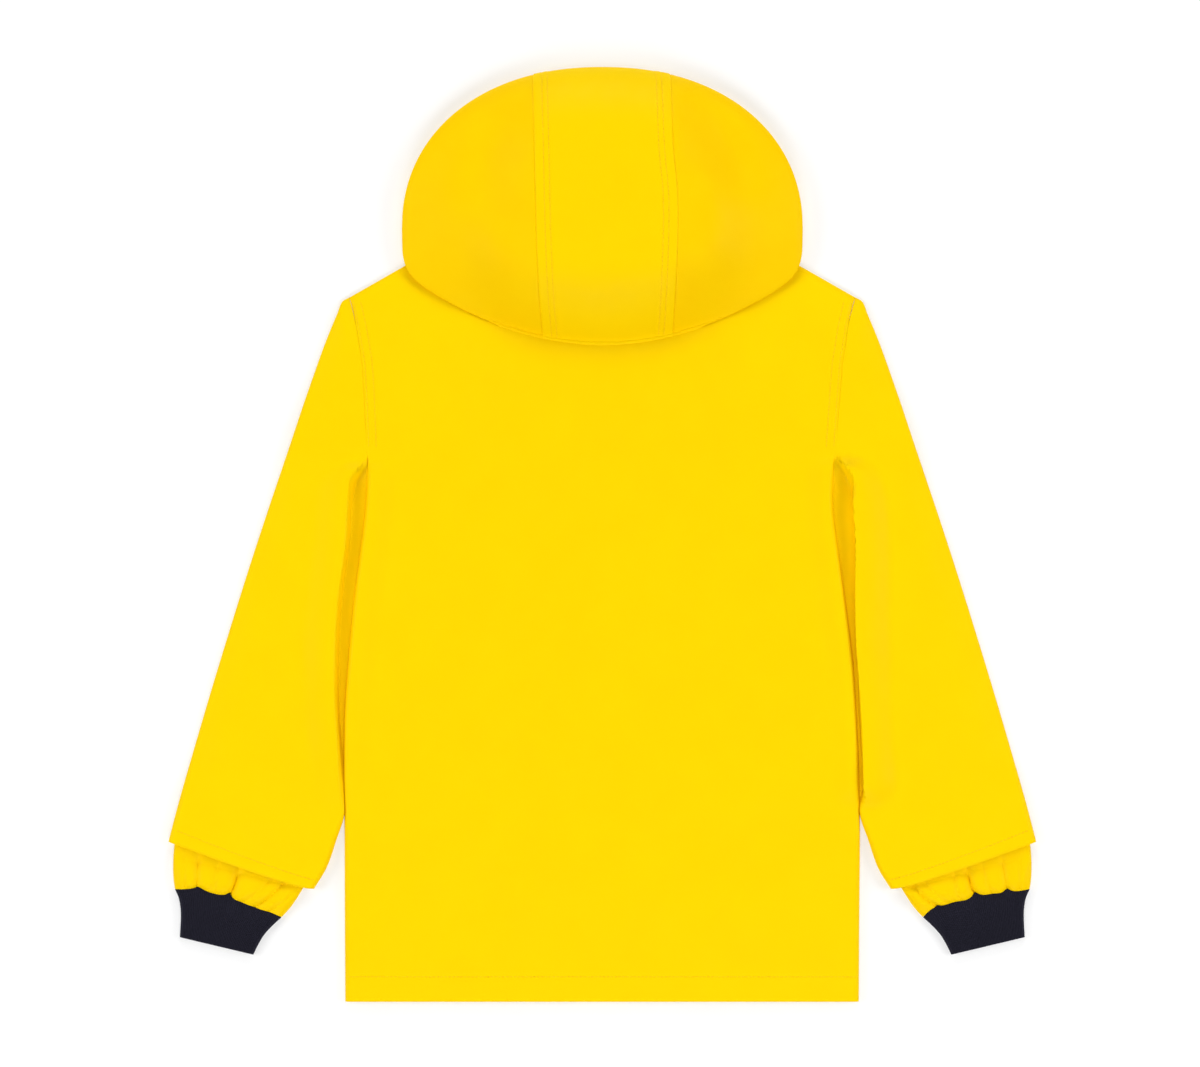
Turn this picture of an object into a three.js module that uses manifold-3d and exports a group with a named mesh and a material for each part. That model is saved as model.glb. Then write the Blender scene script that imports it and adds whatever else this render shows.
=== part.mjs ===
// A child's hooded raincoat laid flat on its front, with the back uppermost.
// Millimetres. Seen from above, +X is to the right, +Y runs from the hem to the hood and +Z is up.
// Heights called "up" are measured along Y from the hem, and "half" widths from the centre line.
import * as THREE from "three";
import { mergeVertices } from "three/addons/utils/BufferGeometryUtils.js";
import Module from "manifold-3d";

const wasm = await Module();
wasm.setup();

// Cloth
const CLOTH = 2; // coated cloth with its knitted backing
const CUFF_CLOTH = 1.6; // the storm cuff's thinner cloth
const RIB_CLOTH = 2;
const SEAM_GAP = 0.3;

// Body
const GARMENT_LENGTH = 726; // hem to the crown of the hood
const SHOULDER_UP = 547.5;
const SHOULDER_HALF = 196.5;
const UNDERARM_UP = 425;
const NECK_UP = 611.8; // where the shoulder seam meets the neck
const NECK_HALF = 84;
const BACK_NECK_DROP = 19.8;
const FRONT_NECK_DROP = 61.8;
const BODY_LOFT = 3.5; // how far the back stands off the fronts away from its edges
const BODY_SIDE_ROLL = 14; // how wide the slope to the side seam is
const BODY_TOP_ROLL = 34;
const BODY_HEM_SHARE = 0.75; // share of the loft that is left at the hem
const BODY_HEM_RISE = 70;
const OVERLAP_HALF = 18; // each front passes the centre line by this much
const OVERLAP_RAMP = 10; // the inner front comes down to the surface over this width

// The side seam and, above the underarm, the armhole seam.
const BODY_EDGE = [
  { up: 0, half: 200 },
  { up: 30, half: 200 },
  { up: 85, half: 200.2 },
  { up: 148, half: 200.4 },
  { up: 188, half: 200.2 },
  { up: 228, half: 199 },
  { up: 268, half: 195.8 },
  { up: 310, half: 191.5 },
  { up: 351, half: 186 },
  { up: 390, half: 181.8 },
  { up: UNDERARM_UP, half: 182.4 },
  { up: 452, half: 183.4 },
  { up: 478, half: 184.8 },
  { up: 496, half: 186.5 },
  { up: 512, half: 188.8 },
  { up: 524, half: 190.8 },
  { up: 536, half: 193.3 },
  { up: SHOULDER_UP, half: SHOULDER_HALF },
];

// Sleeve: the fold along the top of the arm, and the underarm seam beside the body and below it.
const SLEEVE_FOLD = [
  { up: SHOULDER_UP, half: SHOULDER_HALF + SEAM_GAP },
  { up: 544.5, half: 201.6 },
  { up: 535, half: 206.4 },
  { up: 521.9, half: 211.6 },
  { up: 475.3, half: 228.6 },
  { up: 382.1, half: 259.8 },
  { up: 288.9, half: 289.9 },
  { up: 195.7, half: 317.8 },
  { up: 125.2, half: 337.3 },
];
const SLEEVE_SEAM_CLEARANCE = 0.5;
const SLEEVE_SEAM_FREE = [
  { up: 124, half: 206.6 },
  { up: 104, half: 214.6 },
  { up: 87.4, half: 224.4 },
];
const SLEEVE_ENDS_TOGETHER = 4.3; // thickness over both layers at the armhole's ends
const SLEEVE_HEM_EDGE = 8;
const SLEEVE_LOFT = 3.5;
const SLEEVE_HEM_LOFT = 1;
const SLEEVE_HEM_FROM = 0.84; // share of its length where it starts to rise over the storm cuff
const SLEEVE_HEM_TO = 0.93;
const SLEEVE_HEM_EARLY = 0.25; // share of that rise that it has made by its end if it rises evenly
const SLEEVE_ROLL = 30; // how wide the slope along the outer fold is

// How far the sleeve lies low beside the body before it rises to its full height, below 0 where it doesn't.
const GUTTERS = [
  { up: 60, left: -7, right: -7 },
  { up: 138, left: -7, right: -7 },
  { up: 160, left: 2, right: 4 },
  { up: 219, left: 8.4, right: 4.8 },
  { up: 281, left: 13, right: 8 },
  { up: 338, left: 14.2, right: 15.4 },
  { up: 380, left: 15, right: 19.4 },
  { up: 405, left: 12.6, right: 15 },
  { up: 430, left: -7, right: -7 },
  { up: 560, left: -7, right: -7 },
];
const GUTTER_WALL = 7; // the sleeve rises over this width
const ARMHOLE_RISE = 9; // at the underarm the back's edge rises to the sleeve's height over this length

// Storm cuff: a gathered inner sleeve end, from inside the sleeve to the ribbed cuff.
const CUFF_OUTER_EDGE = [
  { at: 0, up: 146, half: 326.8 },
  { at: 0.35, up: 122.5, half: 332.6 },
  { at: 0.65, up: 104, half: 333.8 },
  { at: 0.85, up: 94, half: 333.4 },
  { at: 1, up: 87.6, half: 332.2 },
];
const CUFF_INNER_EDGE = [
  { at: 0, up: 112, half: 222 },
  { at: 0.35, up: 94, half: 229.5 },
  { at: 0.65, up: 81, half: 237 },
  { at: 0.85, up: 72.4, half: 243 },
  { at: 1, up: 66, half: 249.4 },
];
const CUFF_LAYERS = 3.8; // thickness over both layers inside the sleeve
const CUFF_LIFT = CLOTH + SEAM_GAP; // the sleeve's lower layer lies under it
const CUFF_DROP_FROM = 0.55; // share of its length where it leaves the sleeve
const CUFF_DROP_RUN = 0.7; // share of the rest of its length over which it comes down to the surface
const CUFF_PUFF = 3.4; // how far it swells where it leaves the sleeve
const CUFF_PUFF_SPAN = 0.85; // share of a half wave that the swelling takes up to the ribbed cuff
const CUFF_FULLNESS = 1; // it stands this much higher at the ribbed cuff's seam
const CUFF_FLAT_EDGE = 0.12; // it doesn't swell within this share of its width from each edge
const CUFF_STATIONS = [0, 0.3, 0.55, 0.66, 0.78, 0.9, 1];
const GATHER_DEPTH = 2.8;
const GATHER_WIDTH = 0.05; // share of the cuff's width
// Gathers across the cuff, from the body side to the fold side.
const GATHERS = {
  left: [{ across: 0.255 }, { across: 0.49 }, { across: 0.79 }],
  right: [{ across: 0.13 }, { across: 0.492 }, { across: 0.785 }],
};
// How far the ribbed cuff's seam rises above a straight line between its ends.
const CUFF_SEAM_RISE = [
  { across: 0, rise: 0 },
  { across: 0.25, rise: 2.2 },
  { across: 0.5, rise: 5.2 },
  { across: 0.8, rise: 5.6 },
  { across: 1, rise: 0 },
];

// Ribbed cuff
const RIB_OUTER_EDGE = [
  { at: 0, up: 87.2, half: 332 },
  { at: 0.18, up: 80.6, half: 329.4 },
  { at: 0.4, up: 72, half: 328 },
  { at: 0.7, up: 61, half: 327.8 },
  { at: 1, up: 50, half: 328.6 },
];
const RIB_INNER_EDGE = [
  { at: 0, up: 65.6, half: 249.6 },
  { at: 0.2, up: 60, half: 255.6 },
  { at: 0.45, up: 52, half: 262.6 },
  { at: 0.7, up: 44.6, half: 267.4 },
  { at: 1, up: 36.4, half: 271.4 },
];
const RIB_LAYERS = 5.4;
const RIBS_PER_LAYER = 20;
const RIB_HEIGHT = 0.5;
const RIB_STATIONS = [0, 0.22, 0.6, 1];

// Hood
const HOOD_HALF = 155.6;
const HOOD_WIDEST_UP = 600;
const HOOD_CROWN_UP = 726;
const HOOD_ARCH_POWER = 2.17;
const HOOD_FALL_UP = 511; // the lowest point of the roll that falls over the back
const HOOD_FALL_RISE = 51.5; // how much higher the roll is at HOOD_FALL_HALF
const HOOD_FALL_HALF = 150;
const HOOD_CORNER_POWER = 28;
const HOOD_CORNER_ROUND = 0.25;
const HOOD_TOP = 43; // height of the centre panel
const HOOD_CROWN_ROLL = 12; // height of the widest line at the crown
const HOOD_FALL_ROLL = 12.5; // height of the widest line at the roll over the back
const HOOD_SIDE_POWER = 1.12;
const HOOD_SIDE_EDGE = 0.06; // width of the round edge at each side, as a share of the side's width
const HOOD_SLOPE_RUN = 54; // the upper sheet slopes up over this width from the roll and from the crown
const HOOD_SLOPE_SHARE = 0.45; // or over this share of a shorter section
const HOOD_SLOPE_POWER = 1.7;
const HOOD_EDGE_SHARE = 0.08; // share of the height that the round edges at the roll and the sides take
const HOOD_EDGE_WIDTH = 8;
const HOOD_CROWN_SHARE = 0.34; // the same two at the crown
const HOOD_CROWN_WIDTH = 22;
const HOOD_SPANS = 11; // along the upper sheet
const HOOD_EDGE_STATIONS = [0.6, 3, 8, 18]; // distances of the lower sheet's stations from both of its ends
const HOOD_SHORT_SECTION = 120; // in a section shorter than this they lie closer together
const HOOD_REST_GAP = 0.9; // the roll lies this far above the back
const HOOD_STEP = 9; // the hood comes down to the surface over this width beyond the shoulder
// That step stays this far from both ends of a section, as shares of its length.
const HOOD_STEP_FOOT = { fromRoll: 0.4, fromCrown: 0.2 };
const HOOD_STEP_HEAD = { fromRoll: 0.25, fromFoot: 0.1, width: 20 };
const HOOD_SIDE_COLUMNS = [0.05, 0.18, 0.42, 0.57, 0.72, 0.86, 0.95, 0.988]; // shares of a side's width
// The seams between the centre panel and the side panels.
const HOOD_SEAMS = [
  { up: 740, left: 54.4, right: 51.6 },
  { up: 700, left: 53.4, right: 53.4 },
  { up: 660, left: 52.6, right: 55.6 },
  { up: 620, left: 51.8, right: 58 },
  { up: 580, left: 50.8, right: 58 },
  { up: 545, left: 48.6, right: 56 },
  { up: 500, left: 46, right: 54 },
];
// The face opening is part of an ellipse above a foot at the front of the neck.
const FACE_WIDEST_UP = 612;
const FACE_RISE = 56;
const FACE_HALF = 62;
const FACE_TURN = -0.38; // where round the ellipse it starts
const FACE_FOOT_HALF = 20;
const FACE_FOOT_FROM = -20; // the foot's ends, from the front of the neck
const FACE_FOOT_TO = 2;
const NECK_SLOT = 14; // width of the slot in the hood's lower sheet that the back of the neck passes through
const COLLAR_JOIN = 8; // the collar runs on past the slot by this much
const COLLAR_THINNER = 0.1; // and is thinner than the sheet by this much on each face
const LOWER_SHEET_TOP = 13; // cuts in the hood's lower sheet reach no higher than this
const CUT_MARGIN = 5; // cuts pass the cloth by this much

// Press studs down the overlap
const STUD_COUNT = 5;
const STUD_FIRST_UP = 60;
const STUD_LAST_UP = 520;
const STUD_CAP_RADIUS = 6.5;
const STUD_CAP_THICKNESS = 1;
const STUD_POST_RADIUS = 2.5;
const STUD_BACK_RADIUS = 5;
const STUD_BACK_THICKNESS = 0.8;
const STUD_SIDES = 10;

const YELLOW = 0xfddc01;
const NAVY = 0x1d1c27;
const clothMaterial = new THREE.MeshStandardMaterial({ color: YELLOW, roughness: 0.45, metalness: 0 });
const ribMaterial = new THREE.MeshStandardMaterial({ color: NAVY, roughness: 0.95, metalness: 0 });
const studMaterial = new THREE.MeshStandardMaterial({ color: YELLOW, roughness: 0.35, metalness: 0 });

const clamp = THREE.MathUtils.clamp;
const lerp = THREE.MathUtils.lerp;
const smoothstep = THREE.MathUtils.smoothstep;

// Rises from 0 to 1 over width, with a flat end.
const rise = (distance, width) => Math.sin((Math.PI / 2) * clamp(distance / width, 0, 1));

// Rises from 0 to 1 over width like a quarter of an ellipse, upright at its start.
const rounded = (distance, width) => Math.sqrt(1 - (1 - clamp(distance / width, 0, 1)) ** 2);

// Falls from 1 at the middle of a span to 0 at its two ends, where it is upright.
const dome = (share, power) => Math.sqrt(Math.max(0, 1 - Math.abs(2 * share - 1) ** power));

// Stations from one value to another, even and crowded towards both ends.
const steps = (from, to, count) => Array.from({ length: count + 1 }, (_, i) => lerp(from, to, i / count));
const crowded = (count) => steps(0, Math.PI, count).map((turn) => (1 - Math.cos(turn)) / 2);

// The value of one column of a table at a place given by another, on a smooth curve through its rows.
function read(table, place, column, at) {
  const rows = table[0][place] > table[table.length - 1][place] ? [...table].reverse() : table;
  const last = rows.length - 1;
  const slope = (i) => {
    const a = rows[Math.max(i - 1, 0)];
    const b = rows[Math.min(i + 1, last)];
    return (b[column] - a[column]) / (b[place] - a[place]);
  };
  let i = 0;
  while (i < last - 1 && at > rows[i + 1][place]) i += 1;
  const width = rows[i + 1][place] - rows[i][place];
  const t = clamp((at - rows[i][place]) / width, 0, 1);
  const [t2, t3] = [t * t, t * t * t];
  return (
    (2 * t3 - 3 * t2 + 1) * rows[i][column] +
    (t3 - 2 * t2 + t) * width * slope(i) +
    (3 * t2 - 2 * t3) * rows[i + 1][column] +
    (t3 - t2) * width * slope(i + 1)
  );
}

// An indexed geometry that is turned so that its faces point out.
function closedGeometry(points, triangles) {
  let volume = 0;
  for (const [a, b, c] of triangles) volume += points[a].dot(points[b].clone().cross(points[c]));
  const facing = volume < 0 ? triangles.map(([a, b, c]) => [a, c, b]) : triangles;
  const geometry = new THREE.BufferGeometry().setFromPoints(points);
  geometry.setIndex(facing.flat());
  geometry.computeVertexNormals();
  return geometry;
}

// A wall between two grids of points, one array for each row. A closed one joins its last column to its
// first.
function wall(outer, inner, closed) {
  const rows = outer.length;
  const columns = outer[0].length;
  const points = [...outer.flat(), ...inner.flat()];
  const outside = (row, column) => row * columns + (column % columns);
  const inside = (row, column) => rows * columns + outside(row, column);
  const triangles = [];
  const quad = (a, b, c, d) => triangles.push([a, b, c], [a, c, d]);
  const across = closed ? columns : columns - 1;
  for (let row = 0; row < rows - 1; row += 1) {
    for (let column = 0; column < across; column += 1) {
      const [a, b] = [[row, column], [row, column + 1]];
      const [c, d] = [[row + 1, column + 1], [row + 1, column]];
      quad(outside(...a), outside(...b), outside(...c), outside(...d));
      quad(inside(...d), inside(...c), inside(...b), inside(...a));
    }
  }
  for (let column = 0; column < across; column += 1) {
    const top = rows - 1;
    quad(inside(0, column), inside(0, column + 1), outside(0, column + 1), outside(0, column));
    quad(outside(top, column), outside(top, column + 1), inside(top, column + 1), inside(top, column));
  }
  if (!closed) {
    const end = columns - 1;
    for (let row = 0; row < rows - 1; row += 1) {
      quad(outside(row, 0), outside(row + 1, 0), inside(row + 1, 0), inside(row, 0));
      quad(inside(row, end), inside(row + 1, end), outside(row + 1, end), outside(row, end));
    }
  }
  return closedGeometry(points, triangles);
}

function solidOf(geometry) {
  const bare = new THREE.BufferGeometry();
  bare.setAttribute("position", geometry.getAttribute("position"));
  if (geometry.index) bare.setIndex(geometry.index);
  const merged = mergeVertices(bare, 1e-3);
  const mesh = new wasm.Mesh({
    numProp: 3,
    vertProperties: new Float32Array(merged.attributes.position.array),
    triVerts: new Uint32Array(merged.index.array),
  });
  return new wasm.Manifold(mesh);
}

function geometryOf(solid) {
  const mesh = solid.getMesh();
  const positions = new Float32Array(mesh.numVert * 3);
  for (let i = 0; i < mesh.numVert; i += 1) {
    const start = i * mesh.numProp;
    positions.set(mesh.vertProperties.subarray(start, start + 3), i * 3);
  }
  const geometry = new THREE.BufferGeometry();
  geometry.setAttribute("position", new THREE.BufferAttribute(positions, 3));
  geometry.setIndex([...mesh.triVerts]);
  geometry.computeVertexNormals();
  return geometry;
}

// An upright block with the outline of a shape.
function block(outline, from, to) {
  const shape = new THREE.Shape(outline);
  const geometry = new THREE.ExtrudeGeometry(shape, { depth: to - from, bevelEnabled: false });
  geometry.translate(0, 0, from);
  return solidOf(geometry);
}

// Body outline

function bodyHalf(up) {
  const seamUp = clamp(up, 0, SHOULDER_UP);
  const above = Math.max(1, BODY_EDGE.findIndex((row) => row.up >= seamUp));
  const [from, to] = [BODY_EDGE[above - 1], BODY_EDGE[above]];
  return lerp(from.half, to.half, (seamUp - from.up) / (to.up - from.up));
}

const shoulder = (x) => lerp(NECK_UP, SHOULDER_UP, (Math.abs(x) - NECK_HALF) / (SHOULDER_HALF - NECK_HALF));

// The neckline from the left to the right, as part of an ellipse.
const neckTurns = steps(0, Math.PI, 14);
function neckline(drop, inset = 0) {
  const half = NECK_HALF - inset;
  return neckTurns.map((turn) => new THREE.Vector2(-half * Math.cos(turn), NECK_UP - drop * Math.sin(turn)));
}

// The top of the back at a place across it.
const backTop = (x) =>
  Math.abs(x) < NECK_HALF ? NECK_UP - BACK_NECK_DROP * Math.sqrt(1 - (x / NECK_HALF) ** 2) : shoulder(x);

// What is cut away above a neckline.
function neckCut(drop) {
  const corners = [NECK_HALF, -NECK_HALF].map((x) => new THREE.Vector2(x, NECK_UP + CUT_MARGIN));
  return block([...neckline(drop), ...corners], -CUT_MARGIN, LOWER_SHEET_TOP);
}

// How high the back's edge stands along the armhole, as a share: as high as the sleeve's.
const armholeRise = (up) =>
  smoothstep(up - UNDERARM_UP, -ARMHOLE_RISE, 0) * rise(SHOULDER_UP - up, SLEEVE_ROLL);

// Height of the back's lower face: on the fronts at its edges, standing off them inside.
function backUnderside(x, up) {
  const shoulderSlope = Math.atan2(NECK_UP - SHOULDER_UP, SHOULDER_HALF - NECK_HALF);
  const fromSide = bodyHalf(up) - Math.abs(x);
  const fromTop = (Math.min(shoulder(x), NECK_UP - BACK_NECK_DROP) - up) * Math.cos(shoulderSlope);
  const nearHem = lerp(BODY_HEM_SHARE, 1, rise(up, BODY_HEM_RISE));
  const atSide = lerp(armholeRise(up), 1, rise(fromSide, BODY_SIDE_ROLL));
  return CLOTH + SEAM_GAP + BODY_LOFT * atSide * rise(fromTop, BODY_TOP_ROLL) * nearHem;
}

// Height of a front's lower face. The inner front rides over the outer one where they overlap.
const frontUnderside = (x, inner) =>
  inner ? (CLOTH + SEAM_GAP) * (1 - rise(x - OVERLAP_HALF - SEAM_GAP, OVERLAP_RAMP)) : 0;

// A panel of the body. Each row goes across it, at the heights of the side seam's rows. place(row, i) gives
// x at column i and the x that the column has at the shoulder; underside gives the height of its lower face.
function bodyPanel(columns, place, underside) {
  const under = BODY_EDGE.map((row) =>
    Array.from({ length: columns }, (_, i) => {
      const [x, topX] = place(row.half - SEAM_GAP / 2, i);
      const top = Math.abs(topX) < NECK_HALF ? NECK_UP : shoulder(topX);
      const up = (row.up / SHOULDER_UP) * top;
      return new THREE.Vector3(x, up, underside(x, up));
    }),
  );
  const over = under.map((row) => row.map((p) => new THREE.Vector3(p.x, p.y, p.z + CLOTH)));
  return solidOf(wall(over, under, false));
}

function backPanel() {
  const half = [0, 0.22, NECK_HALF / SHOULDER_HALF, 0.52, 0.64, 0.78, 0.9, 0.93, 0.965, 1];
  const shares = [...half.slice(1).reverse().map((share) => -share), ...half];
  const place = (edge, i) => [shares[i] * edge, shares[i] * SHOULDER_HALF];
  return bodyPanel(shares.length, place, backUnderside).subtract(neckCut(BACK_NECK_DROP));
}

// side is -1 for the wearer's left front and 1 for the right. The left one lies outside in the overlap.
function frontPanel(side) {
  const inner = side > 0;
  const rampStart = OVERLAP_HALF + SEAM_GAP;
  const ramp = inner ? [0.35, 0.7, 1].map((share) => rampStart + share * OVERLAP_RAMP) : [];
  const fixed = [-OVERLAP_HALF, inner ? rampStart : 0, ...ramp];
  const rest = [NECK_HALF, 125, 165, SHOULDER_HALF];
  const place = (edge, i) => {
    if (i < fixed.length) return [side * fixed[i], side * fixed[i]];
    const topX = rest[i - fixed.length];
    return [(side * topX * edge) / SHOULDER_HALF, side * topX];
  };
  const underside = (x) => frontUnderside(side * x, inner);
  return bodyPanel(fixed.length + rest.length, place, underside).subtract(neckCut(FRONT_NECK_DROP));
}

// Tubes that lie flat: sleeves and cuffs

// Stations round a flattened tube: its upper layer from the body side to the fold side, then its lower one
// back. Each is a share of the width.
function roundStations(upper, lower) {
  const top = upper.map((s) => ({ s, side: 1 }));
  const bottom = [...lower].reverse().map((s) => ({ s, side: -1 }));
  return [...top, ...bottom];
}
const UPPER_STATIONS = [0, 0.008, 0.035, 0.07, 0.105, 0.145, 0.3, 0.5, 0.68, 0.82, 0.92, 0.97, 0.992, 1];
const LOWER_STATIONS = [0.008, 0.04, 0.25, 0.5, 0.75, 0.96, 0.992];

// A wall of the given thickness between surface(along, station, 0) and the same surface moved in.
function tube(alongs, stations, surface, thickness) {
  const [outer, inner] = [0, thickness].map((inset) =>
    alongs.map((along) => stations.map((station) => surface(along, station, inset))),
  );
  return wall(outer, inner, true);
}

// A place across a flattened tube, inset from both of its edges.
function across(seam, fold, share, inset) {
  const toFold = fold.clone().sub(seam).normalize().multiplyScalar(inset);
  return seam.clone().add(toFold).lerp(fold.clone().sub(toFold), share);
}

// The height of a flattened tube's face between its lower face at base and its upper one.
function layerHeight(station, width, base, layers, puff, inset) {
  const half = layers / 2 - inset;
  const round = dome(station.s, Math.max(2, (width - 2 * inset) / half));
  return base + layers / 2 + (station.side > 0 ? half + puff : -half) * round;
}

const sleeveSeam = new THREE.Path([
  ...BODY_EDGE.filter((row) => row.up > SLEEVE_SEAM_FREE[0].up && row.up <= UNDERARM_UP)
    .reverse()
    .map((row) => new THREE.Vector2(row.half + SLEEVE_SEAM_CLEARANCE, row.up)),
  ...SLEEVE_SEAM_FREE.map((row) => new THREE.Vector2(row.half, row.up)),
]);
const sleeveFold = new THREE.SplineCurve(SLEEVE_FOLD.map((row) => new THREE.Vector2(row.half, row.up)));

// How far a sleeve's upper layer has risen beside the body, as a share, at a place on it.
function gutterRise(side, half, up) {
  const last = GUTTERS[GUTTERS.length - 1];
  const width = read(GUTTERS, "up", side < 0 ? "left" : "right", clamp(up, GUTTERS[0].up, last.up));
  return smoothstep(half - bodyHalf(up) - width, -GUTTER_WALL, 0);
}

function sleeve(side) {
  const armhole = (s) => {
    const up = lerp(UNDERARM_UP, SHOULDER_UP, s);
    return new THREE.Vector2(bodyHalf(up) + SEAM_GAP, up);
  };
  const surface = (along, station, inset) => {
    const seam = sleeveSeam.getPoint(along);
    const fold = sleeveFold.getPointAt(along);
    const straight = across(seam, fold, station.s, inset);
    const chord = armhole(0).lerp(armhole(1), station.s);
    const plan = straight.add(armhole(station.s).sub(chord).multiplyScalar((1 - along) ** 3));
    const width = seam.distanceTo(fold);
    const nearHem = Math.max(smoothstep(along, SLEEVE_HEM_FROM, SLEEVE_HEM_TO), along * SLEEVE_HEM_EARLY);
    const layers = lerp(SLEEVE_ENDS_TOGETHER, SLEEVE_HEM_EDGE, nearHem);
    const loft = lerp(SLEEVE_LOFT, SLEEVE_HEM_LOFT, nearHem);
    const puff = loft * gutterRise(side, plan.x, plan.y) * rise((1 - station.s) * width, SLEEVE_ROLL);
    return new THREE.Vector3(side * plan.x, plan.y, layerHeight(station, width, 0, layers, puff, inset));
  };
  const lengths = sleeveSeam.getCurveLengths();
  const length = lengths[lengths.length - 1];
  const alongs = [0, 0.012, 0.036, 0.068, ...lengths.map((at) => at / length)];
  return tube(alongs, roundStations(UPPER_STATIONS, LOWER_STATIONS), surface, CLOTH);
}

function edgePoint(table, at) {
  return new THREE.Vector2(read(table, "at", "half", at), read(table, "at", "up", at));
}

// How deep the gathers are at a place across the cuff.
function gather(side, share) {
  const folds = side < 0 ? GATHERS.left : GATHERS.right;
  const depths = folds.map((fold) => Math.exp(-(((share - fold.across) / GATHER_WIDTH) ** 2)));
  return Math.max(...depths);
}

const seamRise = (share) => read(CUFF_SEAM_RISE, "across", "rise", share);

function stormCuff(side) {
  const surface = (along, station, inset) => {
    const inner = edgePoint(CUFF_INNER_EDGE, along);
    const outer = edgePoint(CUFF_OUTER_EDGE, along);
    const plan = across(inner, outer, station.s, inset);
    plan.y += seamRise(station.s) * along ** 4;
    const free = clamp((along - CUFF_DROP_FROM) / (1 - CUFF_DROP_FROM), 0, 1);
    const base = CUFF_LIFT * (1 - rise(free, CUFF_DROP_RUN));
    const nearEdges = rise(station.s, CUFF_FLAT_EDGE) * rise(1 - station.s, CUFF_FLAT_EDGE);
    const swell = (CUFF_PUFF * Math.sin(Math.PI * CUFF_PUFF_SPAN * free) + CUFF_FULLNESS * free) * nearEdges;
    const fold = station.side > 0 ? GATHER_DEPTH * free * gather(side, station.s) : 0;
    const height = layerHeight(station, inner.distanceTo(outer), base, CUFF_LAYERS, swell, inset);
    return new THREE.Vector3(side * plan.x, plan.y, height - fold);
  };
  const ends = [0.01, 0.035];
  const upper = [0, ...ends, ...steps(0.08, 0.92, 20), ...ends.map((s) => 1 - s).reverse(), 1];
  return tube(CUFF_STATIONS, roundStations(upper, LOWER_STATIONS), surface, CUFF_CLOTH);
}

function ribCuff(side) {
  const count = 2 * RIBS_PER_LAYER;
  const middles = steps(0.5, count - 0.5, count - 1).map((i) => i / count);
  const stations = roundStations([0, ...middles, 1], LOWER_STATIONS);
  stations.slice(1, count + 1).forEach((station, i) => {
    station.ridge = i % 2;
  });
  const surface = (along, station, inset) => {
    const inner = edgePoint(RIB_INNER_EDGE, along);
    const outer = edgePoint(RIB_OUTER_EDGE, along);
    const plan = across(inner, outer, station.s, inset);
    plan.y += seamRise(station.s) * (1 - along) ** 3;
    const height = layerHeight(station, inner.distanceTo(outer), 0, RIB_LAYERS, 0, inset);
    const ridge = inset ? 0 : RIB_HEIGHT * (station.ridge ?? 0);
    return new THREE.Vector3(side * plan.x, plan.y, height + ridge);
  };
  return tube(RIB_STATIONS, stations, surface, RIB_CLOTH);
}

// Hood: a bag whose lower sheet lies on the surface beyond the shoulders and on the back below them

const hoodArch = (x) =>
  HOOD_WIDEST_UP +
  (HOOD_CROWN_UP - HOOD_WIDEST_UP) *
    Math.max(0, 1 - Math.abs(x / HOOD_HALF) ** HOOD_ARCH_POWER) ** (1 / HOOD_ARCH_POWER);

function hoodFall(x) {
  const curve = HOOD_FALL_UP + HOOD_FALL_RISE * (x / HOOD_FALL_HALF) ** 2;
  const corner = Math.max(0, 1 - Math.abs(x / HOOD_HALF) ** HOOD_CORNER_POWER) ** HOOD_CORNER_ROUND;
  return HOOD_WIDEST_UP - (HOOD_WIDEST_UP - curve) * corner;
}

const hoodSeam = (side, up) => read(HOOD_SEAMS, "up", side < 0 ? "left" : "right", up);

// How far the upper sheet rises over the widest line, as a share, at a place across the hood.
function hoodRise(x) {
  const seam = hoodSeam(x, HOOD_WIDEST_UP);
  const beyond = clamp((Math.abs(x) - seam) / (HOOD_HALF - seam), 0, 1);
  return lerp(1 - beyond ** HOOD_SIDE_POWER, rounded(1 - beyond, HOOD_SIDE_EDGE), HOOD_EDGE_SHARE);
}

// How far a section of that length has risen at a distance from one of its ends, as a share: mostly on a
// slope, and for the rest on a round edge.
function hoodSlope(distance, length, edgeShare, edgeWidth) {
  const run = Math.min(HOOD_SLOPE_RUN, HOOD_SLOPE_SHARE * length);
  const slope = 1 - (1 - clamp(distance / run, 0, 1)) ** HOOD_SLOPE_POWER;
  return lerp(slope, rounded(distance, (edgeWidth * run) / HOOD_SLOPE_RUN), edgeShare);
}

const hoodSwell = (share, length) =>
  hoodSlope(share * length, length, HOOD_EDGE_SHARE, HOOD_EDGE_WIDTH) *
  hoodSlope((1 - share) * length, length, HOOD_CROWN_SHARE, HOOD_CROWN_WIDTH);

// Where the lower sheet reaches the surface beyond the shoulder, and where it leaves the back.
function hoodStep(x, low, high) {
  const length = high - low;
  const footLow = low + HOOD_STEP_FOOT.fromRoll * length;
  const foot = clamp(backTop(x) + HOOD_STEP, footLow, high - HOOD_STEP_FOOT.fromCrown * length);
  const headHigh = foot - HOOD_STEP_HEAD.fromFoot * Math.min(length, HOOD_STEP_HEAD.width);
  const head = clamp(backTop(x) + SEAM_GAP, low + HOOD_STEP_HEAD.fromRoll * length, headHigh);
  return [foot, head];
}

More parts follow.
